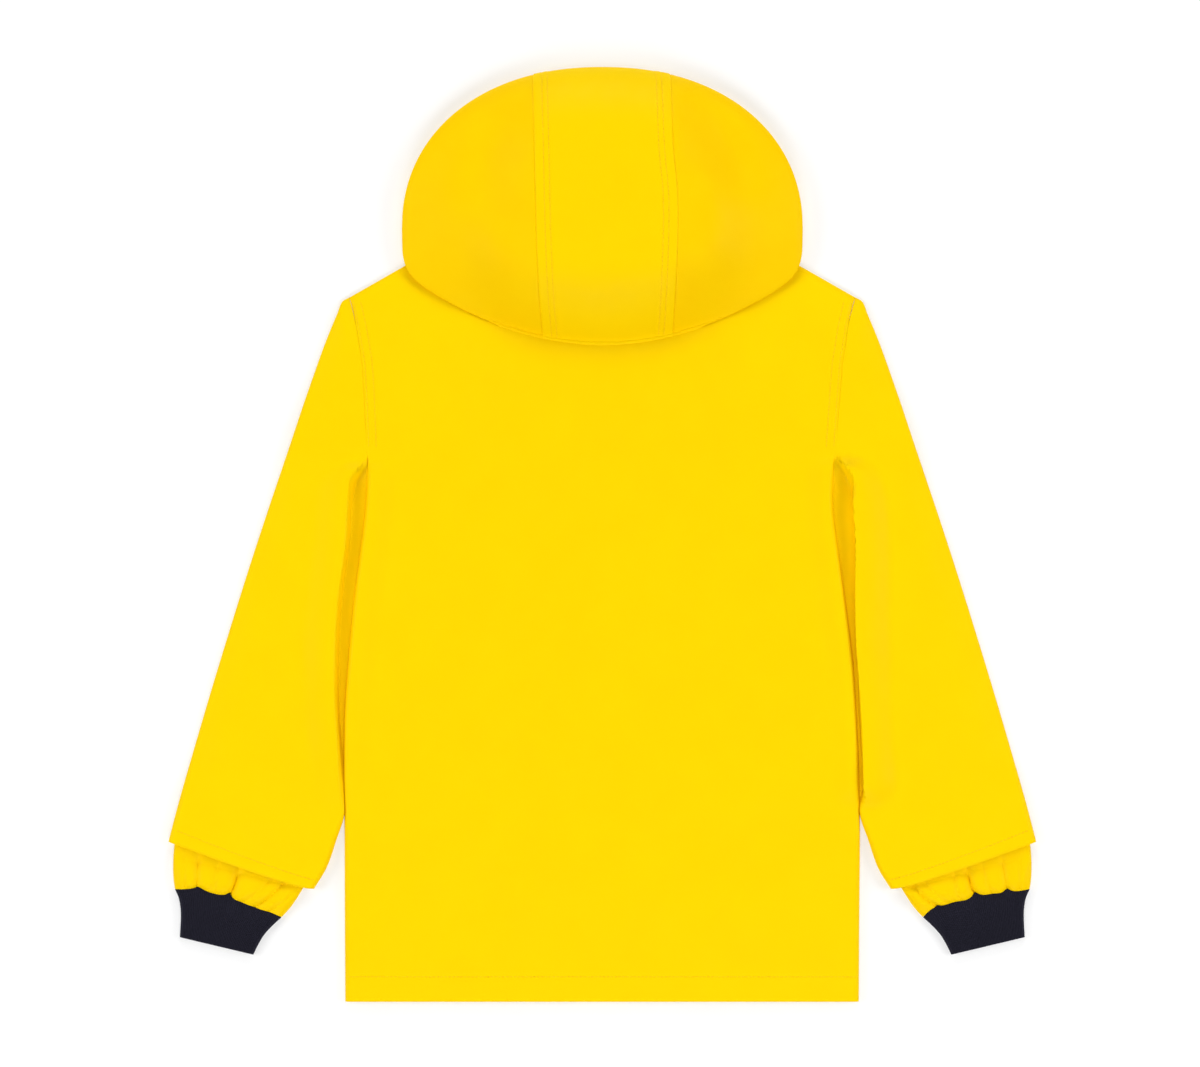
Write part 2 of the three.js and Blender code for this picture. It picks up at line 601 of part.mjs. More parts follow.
// The hood's outline in a section along Y: its upper sheet from the roll to the crown, and its lower sheet
// back.
function hoodLoop(x) {
  const [low, high] = [hoodFall(x), hoodArch(x)];
  const length = high - low;
  const widest = (up) => lerp(HOOD_FALL_ROLL, HOOD_CROWN_ROLL, (up - low) / length);
  const near = HOOD_EDGE_STATIONS.map((distance) => distance * Math.min(1, length / HOOD_SHORT_SECTION));
  const [foot, head] = hoodStep(x, low, high);
  const floor = (up) => {
    const onBack = backUnderside(x, Math.min(up, backTop(x))) + CLOTH + HOOD_REST_GAP;
    return onBack * (1 - clamp((up - head) / (foot - head), 0, 1));
  };
  const upper = crowded(HOOD_SPANS).map((share) => {
    const up = lerp(low, high, share);
    const height = widest(up) + (HOOD_TOP - widest(up)) * hoodRise(x) * hoodSwell(share, length);
    return new THREE.Vector3(x, up, height);
  });
  const crownSide = near.map((distance) => high - distance);
  const rollSide = near.map((distance) => low + distance).reverse();
  const beyondStep = (crownSide[near.length - 1] + foot) / 2;
  const onBack = (head + rollSide[0]) / 2;
  const lowerUps = [...crownSide, beyondStep, foot, head, onBack, ...rollSide];
  const lower = lowerUps.map((up) => {
    const round = dome((up - low) / length, Math.max(2, length / HOOD_CROWN_ROLL));
    return new THREE.Vector3(x, up, widest(up) - (widest(up) - floor(up)) * round);
  });
  return [...upper, ...lower];
}

function hoodColumns(side) {
  const seam = hoodSeam(side, HOOD_WIDEST_UP);
  const centre = [seam / 2, seam];
  const beyond = [NECK_HALF, ...HOOD_SIDE_COLUMNS.map((share) => lerp(seam, HOOD_HALF, share))];
  return [...centre, ...beyond.sort((a, b) => a - b)].map((x) => side * x);
}

// The bag's face as loops along X that close on a point at each side, moved in by inset.
function hoodSurface(inset) {
  const loops = [...hoodColumns(-1).reverse(), 0, ...hoodColumns(1)].map(hoodLoop);
  const sidePoint = (x) => new THREE.Vector3(x, HOOD_WIDEST_UP, (HOOD_CROWN_ROLL + HOOD_FALL_ROLL) / 2);
  const count = loops[0].length;
  const last = loops.length - 1;
  const moved = loops.map((loop, i) =>
    loop.map((point, j) => {
      const round = loop[(j + 1) % count].clone().sub(loop[(j + count - 1) % count]);
      const before = i > 0 ? loops[i - 1][j] : sidePoint(-HOOD_HALF);
      const after = i < last ? loops[i + 1][j] : sidePoint(HOOD_HALF);
      const normal = after.clone().sub(before).cross(round).normalize();
      return point.clone().addScaledVector(normal, -inset);
    }),
  );
  const points = [...moved.flat(), sidePoint(-HOOD_HALF + inset), sidePoint(HOOD_HALF - inset)];
  const index = (i, j) => i * count + (j % count);
  const triangles = [];
  for (let j = 0; j < count; j += 1) {
    for (let i = 0; i < last; i += 1) {
      triangles.push([index(i, j), index(i, j + 1), index(i + 1, j + 1)]);
      triangles.push([index(i, j), index(i + 1, j + 1), index(i + 1, j)]);
    }
    triangles.push([index(0, j + 1), index(0, j), points.length - 2]);
    triangles.push([index(last, j), index(last, j + 1), points.length - 1]);
  }
  return closedGeometry(points, triangles);
}

const moveUp = (points, distance) => points.map((p) => new THREE.Vector2(p.x, p.y + distance));

// The face opening, which runs down to the front of the neck.
function faceOutline() {
  const neckFront = NECK_UP - FRONT_NECK_DROP;
  const [from, to] = [neckFront + FACE_FOOT_FROM, neckFront + FACE_FOOT_TO];
  const foot = [from, to].map((up) => new THREE.Vector2(FACE_FOOT_HALF, up));
  const otherFoot = [to, from].map((up) => new THREE.Vector2(-FACE_FOOT_HALF, up));
  const round = steps(FACE_TURN, Math.PI - FACE_TURN, 16).map(
    (turn) => new THREE.Vector2(FACE_HALF * Math.cos(turn), FACE_WIDEST_UP + FACE_RISE * Math.sin(turn)),
  );
  return [...foot, ...round, ...otherFoot];
}

function seamOutline(grow) {
  const ups = steps(HOOD_FALL_UP - CUT_MARGIN, HOOD_CROWN_UP + CUT_MARGIN, 12);
  const left = ups.map((up) => new THREE.Vector2(-hoodSeam(-1, up) - grow, up));
  const right = ups.map((up) => new THREE.Vector2(hoodSeam(1, up) + grow, up));
  return [...left, ...right.reverse()];
}

function halfBlock(side) {
  const geometry = new THREE.BoxGeometry(HOOD_HALF * 2, HOOD_CROWN_UP, HOOD_TOP * 3);
  geometry.translate(side * HOOD_HALF, HOOD_CROWN_UP, 0);
  return solidOf(geometry);
}

function hoodPanels() {
  const backNeck = neckline(BACK_NECK_DROP);
  const face = block(faceOutline(), -CUT_MARGIN, LOWER_SHEET_TOP);
  // the back of the neck passes through the slot
  const slotEdge = [...backNeck, ...moveUp(backNeck, NECK_SLOT).reverse()];
  const slot = block(slotEdge, -CUT_MARGIN, LOWER_SHEET_TOP);
  // inside the neck the lower sheet goes on down to the front neckline
  const collarEdge = neckline(FRONT_NECK_DROP - SEAM_GAP, SEAM_GAP);
  const collarTop = moveUp(backNeck, NECK_SLOT + COLLAR_JOIN).reverse();
  const collar = block([...collarEdge, ...collarTop], COLLAR_THINNER, CLOTH - COLLAR_THINNER);
  const shell = solidOf(hoodSurface(0)).subtract(solidOf(hoodSurface(CLOTH)));
  const between = (grow) => block(seamOutline(grow), -CUT_MARGIN, HOOD_TOP + CUT_MARGIN);
  const open = shell.subtract(slot);
  const centre = open.subtract(face).intersect(between(-SEAM_GAP / 2));
  const sides = open.subtract(between(SEAM_GAP / 2)).add(collar).subtract(face);
  return {
    centre,
    left: sides.intersect(halfBlock(-1)),
    right: sides.intersect(halfBlock(1)),
  };
}

// Press studs

const studUps = steps(STUD_FIRST_UP, STUD_LAST_UP, STUD_COUNT - 1);
const studSeat = 2 * CLOTH + 2 * SEAM_GAP; // above both fronts

function studGeometry() {
  const profile = [
    [0, 0],
    [STUD_CAP_RADIUS, 0],
    [STUD_CAP_RADIUS, STUD_CAP_THICKNESS],
    [STUD_POST_RADIUS, STUD_CAP_THICKNESS],
    [STUD_POST_RADIUS, studSeat],
    [STUD_BACK_RADIUS, studSeat],
    [STUD_BACK_RADIUS, studSeat + STUD_BACK_THICKNESS],
    [0, studSeat + STUD_BACK_THICKNESS],
  ].map(([radius, height]) => new THREE.Vector2(radius, height));
  const geometry = new THREE.LatheGeometry(profile, STUD_SIDES);
  geometry.rotateX(Math.PI / 2); // the lathe turns about Y, and the stud stands along Z
  return geometry;
}

function cylinder(radius, from, to, up) {
  const geometry = new THREE.CylinderGeometry(radius, radius, to - from, STUD_SIDES);
  geometry.rotateX(Math.PI / 2);
  geometry.translate(0, up, (from + to) / 2);
  return solidOf(geometry);
}

function withStudHoles(panel, capRecess) {
  return studUps.reduce((solid, up) => {
    const hole = cylinder(STUD_POST_RADIUS + SEAM_GAP, -CUT_MARGIN, studSeat, up);
    const recessTop = STUD_CAP_THICKNESS + SEAM_GAP;
    const recess = cylinder(STUD_CAP_RADIUS + SEAM_GAP, -CUT_MARGIN, recessTop, up);
    return solid.subtract(capRecess ? hole.add(recess) : hole);
  }, panel);
}

// Assembly

const garment = new THREE.Group();
garment.position.y = -GARMENT_LENGTH / 2;

function add(name, geometry, material) {
  const mesh = new THREE.Mesh(geometry, material);
  mesh.name = name;
  garment.add(mesh);
  return mesh;
}

add("back", geometryOf(backPanel()), clothMaterial);
add("front_left", geometryOf(withStudHoles(frontPanel(-1), true)), clothMaterial);
add("front_right", geometryOf(withStudHoles(frontPanel(1), false)), clothMaterial);

for (const [name, side] of [
  ["left", -1],
  ["right", 1],
]) {
  add("sleeve_" + name, sleeve(side), clothMaterial);
  add("storm_cuff_" + name, stormCuff(side), clothMaterial);
  add("rib_cuff_" + name, ribCuff(side), ribMaterial);
}

const hood = hoodPanels();
add("hood_centre", geometryOf(hood.centre), clothMaterial);
add("hood_left", geometryOf(hood.left), clothMaterial);
add("hood_right", geometryOf(hood.right), clothMaterial);

studUps.forEach((up, i) => {
  add("stud_" + (i + 1), studGeometry(), studMaterial).position.y = up;
});

const raincoat = new THREE.Group();
raincoat.add(garment);
export default raincoat;
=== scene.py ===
"""A child's hooded raincoat that lies flat on its front, with the back uppermost."""

import math
from functools import partial

import bmesh
import bpy
import numpy as np
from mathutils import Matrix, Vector


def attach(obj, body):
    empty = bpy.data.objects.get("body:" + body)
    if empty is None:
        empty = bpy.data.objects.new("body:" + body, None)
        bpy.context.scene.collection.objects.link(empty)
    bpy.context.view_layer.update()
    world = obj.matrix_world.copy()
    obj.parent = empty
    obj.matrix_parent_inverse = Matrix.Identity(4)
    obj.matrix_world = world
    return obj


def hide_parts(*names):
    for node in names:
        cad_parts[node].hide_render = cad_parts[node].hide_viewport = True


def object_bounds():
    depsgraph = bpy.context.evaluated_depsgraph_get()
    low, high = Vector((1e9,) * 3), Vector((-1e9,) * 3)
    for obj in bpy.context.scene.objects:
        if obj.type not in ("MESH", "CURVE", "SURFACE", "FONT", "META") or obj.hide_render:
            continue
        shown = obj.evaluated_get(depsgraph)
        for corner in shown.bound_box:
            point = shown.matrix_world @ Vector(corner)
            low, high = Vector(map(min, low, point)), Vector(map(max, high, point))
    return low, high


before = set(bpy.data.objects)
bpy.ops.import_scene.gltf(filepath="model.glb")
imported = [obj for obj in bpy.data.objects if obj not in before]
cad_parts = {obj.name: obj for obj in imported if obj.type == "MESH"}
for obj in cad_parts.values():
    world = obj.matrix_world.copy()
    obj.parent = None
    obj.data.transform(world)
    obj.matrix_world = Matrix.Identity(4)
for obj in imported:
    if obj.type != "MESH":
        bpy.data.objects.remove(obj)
cad_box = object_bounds()

# Sizes are in millimetres. "up" is measured along Y from the hem, a "half" from the centre line, and a
# height from the surface that the coat lies on.
MM = 0.001
SIDES = ((-1, "left"), (1, "right"))
HEM_Y = cad_box[0].y

# Cloth
CLOTH = 1.0
CUFF_CLOTH = 0.8
RIB_CLOTH = 2.0
LAYER_GAP = 0.3
HEM_FOLD = 0.9  # a folded hem is thicker by this much
GROOVE_DEPTH = 0.24  # how far a row of stitches draws the cloth in
GROOVE_WIDTH = 0.65
SEAM_DIP = 0.3  # how far the cloth turns down at a seam
SEAM_DIP_WIDTH = 1.3
FELL_HEIGHT = 0.45  # the raised strip of a felled seam
FELL_WIDTH = 8.4
FELL_EDGE = 0.6
FELL_ROWS = (1.8, 7.6)  # its two rows of stitches, from the seam
HOOD_FELL_WIDTH = 12.0
HOOD_FELL_ROWS = (7.0, 11.2)
HOOD_SEAM_DEEPER = 0.35  # the hood's seams dip by this much more
HOOD_SIDE_DIP = 0.48  # the dip of a hood side at its seam
CUFF_DIP = 0.27
HEM_EDGE_ROLL = 1.4  # the edge of a hem turns down over this width
HEM_EDGE_DROP = 0.7

# Body
SHOULDER_UP = 547.5
SHOULDER_HALF = 196.5
UNDERARM_UP = 425
NECK_UP = 611.8
NECK_HALF = 84
BACK_NECK_DROP = 19.8
FRONT_NECK_DROP = 61.8
SHOULDER_SLOPE = math.atan2(NECK_UP - SHOULDER_UP, SHOULDER_HALF - NECK_HALF)
EDGE_TOP = 2.3  # height of the back's face where it meets a front
BACK_TOP = 7.8
CRISP_ROLL = 4.5  # the side turns down over this width
SOFT_ROLL = 16
TOP_ROLL = 34
TOP_CRISP_SHARE = 0.35
HEM_LOFT_SHARE = 0.75
HEM_LOFT_RISE = 70
HEM_DEPTH = 19.5
HEM_EDGES = ((-0.2, 1.2), (0.4, 1.4))  # past the hem's depth, where its band and its fold end
OVERLAP_HALF = 18
PLACKET_HALF = 32
PLACKET_ROW = 30
OVERLAP_RAMP = 10
OVERLAP_LIFT = 2.3
ARMHOLE_RISE = 9
ARMHOLE_FELL = (2, 14)  # above the underarm, where its felled seam fades in
BACK_INLAND = ((2, 30), (0, 40), (0, 30))  # creases fade in over these from the sides, hem and top
PANEL_STEP = 3.6
PANEL_ZONES = [(0, 2, 0.5), (17, 22, 0.7), (540, 547.5, 0.9)]  # start, end and spacing of finer rows
HEM_ROW_HALF = 199
ARMHOLE_ROW_ENDS = (4, 1)  # its stitches start and stop this far from the underarm and the shoulder

# The side seam and, above the underarm, the armhole seam.
BODY_EDGE = [  # up, left half, right half
    (0, 199.8, 199.4), (60, 200.2, 199.8), (148, 200.6, 200.2), (188, 201.2, 199.4),
    (228, 200.4, 197.6), (268, 197.4, 194.9), (310, 193.6, 189.4), (351, 188.3, 183.6),
    (387, 184.1, 179.4), (425, 183.2, 181.2), (452, 184.0, 183.0), (478, 185.2, 184.8),
    (498, 186.6, 186.5), (512, 188.8, 188.8), (525, 191.2, 190.9), (538, 194.0, 193.8),
    (547.5, 196.5, 196.5),
]

# Sleeve: the fold along the top of the arm, and the underarm seam below where it leaves the body
SLEEVE_FOLD = [  # half, up
    (196.8, 547.5), (201.6, 544.8), (206.2, 534.6), (211.6, 521.9), (228.6, 475.3), (244.2, 428.7),
    (260.0, 382.0), (275.2, 335.5), (289.8, 288.9), (304.0, 242.3), (317.7, 195.7), (330.9, 149.0),
    (337.3, 124.4),
]
SLEEVE_SEAM_FREE = [(206.6, 125.8), (215.0, 102.5), (224.0, 87.8)]  # half, up
SLEEVE_CLEARANCE = -0.45  # it runs in under the body's edge
HEM_SAG = [  # share of the width, drop
    (0, 0), (0.05, 1.3), (0.12, 2.1), (0.25, 2.5), (0.42, 2.5), (0.6, 2.0), (0.8, 1.1), (1, 0),
]
HEM_SAG_FROM = 0.8  # share of the sleeve's length after which its hem's sag shows
SLEEVE_TUCK = 0.7  # it runs on under the back's edge at the armhole
SLEEVE_TOP = 7.8
SLEEVE_HEM_TOP = 9.2
SLEEVE_HEM_DEPTH = 8.2
SLEEVE_HEM_EDGES = ((0, 1.2), (0, 1))
SLEEVE_HEM_RUN = (0.82, 0.93)  # shares of its length over which it takes on the hem's height
SLEEVE_HEM_ROW = (0.02, 0.985)  # shares of its width where its stitches start and stop
SLEEVE_SEAM_TO = 148  # the up where its underarm seam leaves the body
SLEEVE_SEAM_SHARP = (138, 152)  # the seam is round below the first up, and sharp above the second
SHARP_RADIUS = 0.02
SLEEVE_INLAND = ((8, 34), (4, 30), (4, 40))  # creases fade in over these from the seam, fold and armhole
ARMHOLE_RUNS = (26, 20, 12)  # from the armhole to the sleeve's own height, the gutter's floor and crest
FOLD_LOW = 0.3  # share of its height that the sleeve keeps at its fold
FOLD_FILLED = 0.7  # and how much of the rest it takes on at the hem
SLEEVE_STEP = 3.2
SLEEVE_WIDTH = 125
SLEEVE_ROLL = 30
FOLD_RADIUS = 4
# How far the sleeve lies low beside the body before it rolls up to its full height.
GUTTERS = {  # up, width
    -1: [
        (60, -6), (138, -6), (150, 0), (172, 3.6), (193, 5.6), (219, 8.4), (245, 10.8), (281, 13.2),
        (318, 14.2), (357, 14.0), (390, 15.2), (405, 12.6), (416, 4.4), (428, -6), (560, -6),
    ],
    1: [
        (60, -6), (138, -6), (150, 0), (160, 4.4), (203, 4.8), (235, 5.0), (266, 6.6), (298, 9.8),
        (318, 12.4), (338, 15.4), (357, 18.0), (377, 19.4), (397, 18.0), (412, 10.5), (420, 3.8),
        (430, -6), (560, -6),
    ],
}
GUTTER_ENDS = (60, 560)
GUTTER_ROLL = {-1: 7.0, 1: 4.5}  # width of the wall up to the full height
GUTTER_FLOOR = 2.2
GUTTER_TIP = ((394, 428), (440, 500))  # over these ups the gutter's floor rises, and falls again
GUTTER_TIP_RISE = 5.0
GUTTER_CREST = {-1: 4.2, 1: 6.8}  # the sleeve stands higher by this beside a gutter
BODY_CREST = 3.6
GUTTER_SLANT = {-1: 0.3, 1: 1.2}  # the gutter's floor is this much higher at the body
CREST_RUN = (4, 26)  # the crest is full up to the first distance from the wall, and ends at the second
CREST_FULL_WIDTH = 8  # a gutter of this width or more has its full crest
GUTTER_LEAN = {-1: 2.4, 1: 5.4}  # how far the wall leans over the gutter
LEAN_RUN = (1, 16)
LEAN_ENDS = (384, 410)  # the wall leans up to the first up, and stands upright from the second
SIDE_ROLL = 3.2
SIDE_CRISP_SHARE = 0.8

# Storm cuff and its seam to the ribbed cuff
CUFF_OUTER = [  # share of its length, half, up
    (0, 326.8, 146), (0.35, 332.6, 122.5), (0.65, 333.8, 104), (0.85, 333.4, 94), (1, 332.4, 87.5),
]
CUFF_INNER = [(0, 222, 112), (0.35, 229.5, 94), (0.65, 237, 81), (0.85, 243, 72.4), (1, 249.1, 65.7)]
CUFF_LENGTH = 40
CUFF_WIDTH = 95
CUFF_BASE = 1.3  # it lies on the sleeve's lower layer
CUFF_THROUGH = 4.6  # its thickness over both layers inside the sleeve
CUFF_FREE_FROM = 0.5
CUFF_SETTLED = 0.7  # share of its free length after which it lies on nothing
CUFF_PUFF = 4.2
PUFF_WAVE = 0.82  # share of a half wave that the puff follows, so that it ends above the seam
CUFF_EDGE_SHARE = 0.1
CUFF_LAYERS_LEFT = 1.9  # its upper face stays this far above its lower one
GATHER_RUN = 0.66  # share of its length, from the ribbed cuff, that the gathers run up
GATHER_FULL = 0.3  # share of that run after which they are at their full depth
CREASE_NARROWER = 0.26  # each gather has a sharp crease in it, narrower by this
GATHER_POWERS = (1.6, 1.3)  # of the hollow and of its crease
PLEAT_HEIGHT = 0.35
PLEAT_WAVES = ((0.95, 1.1), (0.37, 0.6))  # waves a millimetre in radians, phase
GATHERS = {  # share of the width, depth of the hollow and of its crease, width, how far it leans
    -1: [
        (0.79, 1.5, 1.4, 4.6, 2.5),
        (0.49, 1.9, 3.2, 5.0, 1.5),
        (0.255, 1.2, 1.4, 4.4, -14.0),
        (0.64, 0.8, 0.5, 3.4, 2.0),
        (0.37, 0.8, 0.7, 3.4, -15.0),
        (0.12, 0.6, 0.5, 3.0, -12.0),
        (0.9, 0.7, 0.5, 2.8, 1.0),
    ],
    1: [
        (0.785, 1.4, 1.2, 4.4, -1.0),
        (0.492, 1.9, 3.2, 5.2, 2.0),
        (0.13, 1.5, 1.6, 4.4, -5.0),
        (0.64, 0.8, 0.6, 3.2, -2.0),
        (0.36, 0.9, 0.8, 3.6, 6.0),
        (0.24, 0.8, 0.6, 3.2, -8.0),
        (0.9, 0.6, 0.5, 3.0, 1.0),
    ],
}
SEAM_SHARPNESS = 5  # power by which the seam's rise fades along a cuff
# How far the seam rises above a straight line between its ends: high in each gather.
SEAM_RISE = {  # share of the width, rise
    -1: [
        (0, 0), (0.11, 1.6), (0.2, 1.8), (0.25, 2.2), (0.29, 2.6), (0.39, 3.7), (0.46, 5.2),
        (0.49, 7.6), (0.53, 6.0), (0.63, 4.6), (0.71, 5.2), (0.785, 6.4), (0.83, 4.4), (0.89, 2.5),
        (1, 0),
    ],
    1: [
        (0, 0), (0.07, 4.2), (0.115, 5.4), (0.135, 6.2), (0.17, 5.4), (0.286, 5.5), (0.455, 6.2),
        (0.49, 8.4), (0.53, 6.2), (0.65, 4.2), (0.74, 3.4), (0.785, 4.8), (0.83, 2.6), (1, 0),
    ],
}

# Ribbed cuff
RIB_OUTER = [(0, 332.3, 87.4), (0.18, 329.5, 81), (0.4, 328, 73), (0.7, 327.8, 62.5), (1, 328.5, 50.1)]
RIB_INNER = [(0, 249.4, 65.5), (0.2, 255.8, 59.6), (0.45, 262.8, 52), (0.7, 267.4, 44.4), (1, 271.3, 36.5)]
RIB_THROUGH = 5.4
RIB_LENGTH = 38
RIB_SWELL = 0.7
RIB_SWELL_RUN = 18
WALES = 50  # ribs across each layer
WALE_HEIGHT = 0.6

# Hood
HOOD_HALF = 155.6
HOOD_WIDEST_UP = 600
HOOD_CROWN_UP = 726
HOOD_ARCH_POWER = 2.17
HOOD_FALL_UP = 511
HOOD_FALL_RISE = 51.5
HOOD_FALL_HALF = 150
HOOD_CORNER_POWER = 28
HOOD_CORNER_ROUND = 0.25
HOOD_TOP = 43
HOOD_CROWN_ROLL = 12
HOOD_FALL_ROLL = 7.6  # height of the widest line at the middle of the roll, which is pressed into the back
HOOD_FALL_SIDE_ROLL = 11
HOOD_PRESSED_HALF = (64, 130)  # it is pressed in up to the first of these, and not beyond the second
HOOD_PRESS_DEPTH = 2.4
PRESS_EDGE = (0.5, 4)  # past the hood's lower edge, where the back is pressed down
PRESS_END = (4, 30)  # and from the back's top, where it no longer is
HOOD_SIDE_POWER = 1.12
HOOD_SIDE_EDGE = (0.08, 0.06)  # share of the height that its round edge takes, and the edge's share of a side
# The slopes of the upper sheet: width, power, share of the height that the round edge takes, its width.
HOOD_PRESSED_SLOPE = (62, 1.9, 0, 1)
HOOD_ROLL_SLOPE = (80, 1.6, 0.08, 8)
HOOD_CROWN_SLOPE = (58, 2.3, 0.24, 14)
HOOD_SLOPE_SHARE = 0.45  # a slope is no wider than this share of the section
HOOD_VALLEY = 4  # where it is pressed into the back it starts level, and steepens over this width
BELOW_HOOD = 5.6  # the back rises by this from the pressed edge of the hood
BELOW_HOOD_RUN = (22, 150)  # up to the first distance, and it is level again at the second
HOOD_REST_GAP = 0.4
HOOD_STEP = 9
# The step's foot stays these shares of a section away from the roll and the crown, and its head the last
# one away from the roll.
HOOD_STEP_WITHIN = (0.4, 0.2, 0.25)
HOOD_STEP_LEAST = 0.1  # its length, as a share of the section or of the next value
HOOD_STEP_SECTION = 20
HOOD_EDGE_SECTION = 120  # a section shorter than this turns up over a shorter run
HOOD_STATION = 2.4  # spacing of its columns
HOOD_WAVES = 0.8  # share of the cloth's waves that it shows
HOOD_STRIP_WIDTH = 110
LOWER_FELL_SHARE = 0.3  # how much of its felled seams shows on the lower sheet
HOOD_EDGE_RUN = 18  # the lower sheet turns up over this width
HOOD_SEAM_ENDS = (500, 740)
HOOD_SEAMS = [  # up, left half, right half
    (500, 45.6, 54.4), (518, 46.3, 54.8), (545, 48.6, 56.2), (584, 50.6, 57.9), (625, 51.7, 58.2),
    (660, 52.5, 55.0), (700, 53.4, 53.4), (740, 54.4, 52.0),
]
FACE_WIDEST_UP = 612
FACE_RISE = 56
FACE_HALF = 62
FACE_TURN = -0.38
FACE_FOOT_HALF = 20
NECK_SLOT = 14
COLLAR_JOIN = 8
COLLAR_FOOT = 0.5
COLLAR_TURN = 0.35  # it follows the face opening up to this angle
COLLAR_HEIGHT = (0.2, 1.2)
CUT_HEIGHTS = (-1, 13)

# Broad troughs and small creases in the hood.
HOOD_RELIEF = [  # x, up, direction in degrees, length, width, height
    (-80, 680, 66, 110, 20, -10),
    (-84, 566, 96, 80, 16, 2.4),
    (-118, 628, 84, 120, 22, 1.2),
    (88, 684, 118, 110, 18, -21),
    (90, 604, 92, 92, 18, 7.0),
    (118, 560, 60, 90, 18, -0.6),
    (-61, 531, 24, 26, 2.2, -0.5),
    (-65, 523, 18, 22, 1.8, -0.4),
    (-70, 541, 30, 26, 2.4, -0.4),
    (69, 528, 152, 22, 2.2, -0.4),
    (-128, 668, 48, 60, 4.0, -0.7),
    (20, 542, 4, 90, 9, -0.8),
]

# Soft creases in the back and in the sleeves.
BACK_RELIEF = [  # x, up, direction in degrees, length, width, height
    (158, 528, 82, 90, 7, -0.7),
    (172, 520, 96, 70, 5, 0.5),
    (-150, 512, 118, 80, 9, 0.5),
    (-60, 486, 172, 130, 9, 0.5),
    (74, 478, 8, 120, 9, 0.45),
    (-166, 408, 52, 60, 6, 0.4),
    (158, 404, 130, 70, 6, -0.5),
    (30, 300, 24, 180, 16, 0.35),
    (-80, 190, 160, 160, 15, -0.35),
    (96, 150, 14, 150, 14, 0.3),
]
SLEEVE_RELIEF = {  # half, up, direction in degrees, length, width, height
    -1: [
        (214, 440, 60, 70, 6, 0.5),
        (222, 404, 150, 50, 5, -0.45),
        (252, 300, 64, 150, 9, -0.4),
        (238, 232, 172, 60, 7, 0.4),
        (282, 178, 62, 90, 8, 0.35),
        (296, 140, 20, 80, 9, -0.3),
    ],
    1: [
        (210, 450, 62, 80, 6, -0.5),
        (226, 398, 140, 60, 5, 0.5),
        (246, 318, 66, 140, 9, 0.4),
        (232, 246, 160, 60, 7, -0.45),
        (276, 190, 66, 100, 8, -0.3),
        (290, 138, 16, 80, 9, 0.3),
    ],
}
# Long shallow waves of laid cloth.
WAVES = [(0.3, 152, 12, 0.4), (0.24, 97, 74, 2.1), (0.16, 61, 131, 4.0), (0.1, 41, 38, 1.2)]

# Stitches
STITCH_PITCH = 3.0
STITCH_LENGTH = 2.3
THREAD_RADIUS = 0.24
THREAD_SIDES = 6
THREAD_CAP = np.array([[0, 1, 2, 3], [0, 3, 4, 5]])  # the faces that close its end
STITCH_SHAPE = [(0, -0.5), (0.16, 0.2), (0.5, 0.3), (0.84, 0.2), (1, -0.5)]  # share, lift in diameters

# Press studs
STUD_COUNT = 5
STUD_FIRST_UP = 60
STUD_LAST_UP = 520
STUD_CAP_RADIUS = 6.5
STUD_PROFILE = [  # radius, height: the cap, the post and the back part
    (0, 0.05), (4.9, 0), (6, 0.12), (6.5, 0.45), (6.4, 0.85), (6, 1), (2.5, 1), (2.5, 4.6),
    (4.7, 4.6), (5, 4.9), (4.7, 5.3), (3.5, 5.4), (2.2, 5.35), (1.8, 5), (0, 5),
]
STUD_RECESS = 1.25
STUD_RECESS_EDGE = 1.4
STUD_ZONE = 9  # the front is finer this near to a stud
STUD_SEGMENTS = 48

# Picture: the camera looks straight down from far away
CAMERA_HEIGHT = 5.0
FRAME_WIDTH = 0.932  # what it takes in at the coat's height
FRAME_CENTRE = (-0.0018, 0.0009)
COAT_HEIGHT = 0.008
FLOOR_SIZE = 12.0
FLOOR_DROP = 0.0004
FLOOR_GLOW = 0.46  # light that the floor itself gives
LIGHT_DISTANCE = 3.0
LIGHT_SIZE = 1.7
LIGHT_POWER = 45
LIGHTS = [(0, 57), (90, 63), (180, 57), (270, 44)]  # azimuth, degrees from straight above
WORLD_STRENGTH = 0.12

# Meshes
STATION_SAMPLES = 8  # a millimetre
STATION_GROWTH = 0.16  # a spacing grows by this share of the distance from a finer zone
PATH_POINTS = 1200
MERGE_DISTANCE = 1e-6  # in metres


# Curves and profiles


def read(table, column, at):
    """A column of a table at a place in its first column, on a smooth curve through the rows."""
    rows = np.array(table, float)
    knots, values = rows[:, 0], rows[:, column]
    slopes = np.gradient(values, knots)
    low = np.clip(np.searchsorted(knots, at) - 1, 0, len(knots) - 2)
    width = knots[low + 1] - knots[low]
    t = np.clip((at - knots[low]) / width, 0, 1)
    return (
        (2 * t**3 - 3 * t**2 + 1) * values[low]
        + (t**3 - 2 * t**2 + t) * width * slopes[low]
        + (3 * t**2 - 2 * t**3) * values[low + 1]
        + (t**3 - t**2) * width * slopes[low + 1]
    )


def by_side(table, side, at):
    """The left or the right column of a table, by the sign of side."""
    return np.where(np.asarray(side) < 0, read(table, 1, at), read(table, 2, at))


def smooth(value, start, end):
    t = np.clip((value - start) / (end - start), 0, 1)
    return t * t * (3 - 2 * t)


def rise(distance, width):
    """From 0 to 1 over the width, with a flat end."""
    return np.sin(np.pi / 2 * np.clip(distance / width, 0, 1))


def rounded(distance, width):
    """From 0 to 1 over the width like a quarter of an ellipse, upright at its start."""
    return np.sqrt(1 - (1 - np.clip(distance / width, 0, 1)) ** 2)


def dome(share, power):
    """From 1 at the middle of a span to 0 at its two ends, where it is upright."""
    return np.sqrt(np.maximum(0, 1 - np.abs(2 * share - 1) ** power))


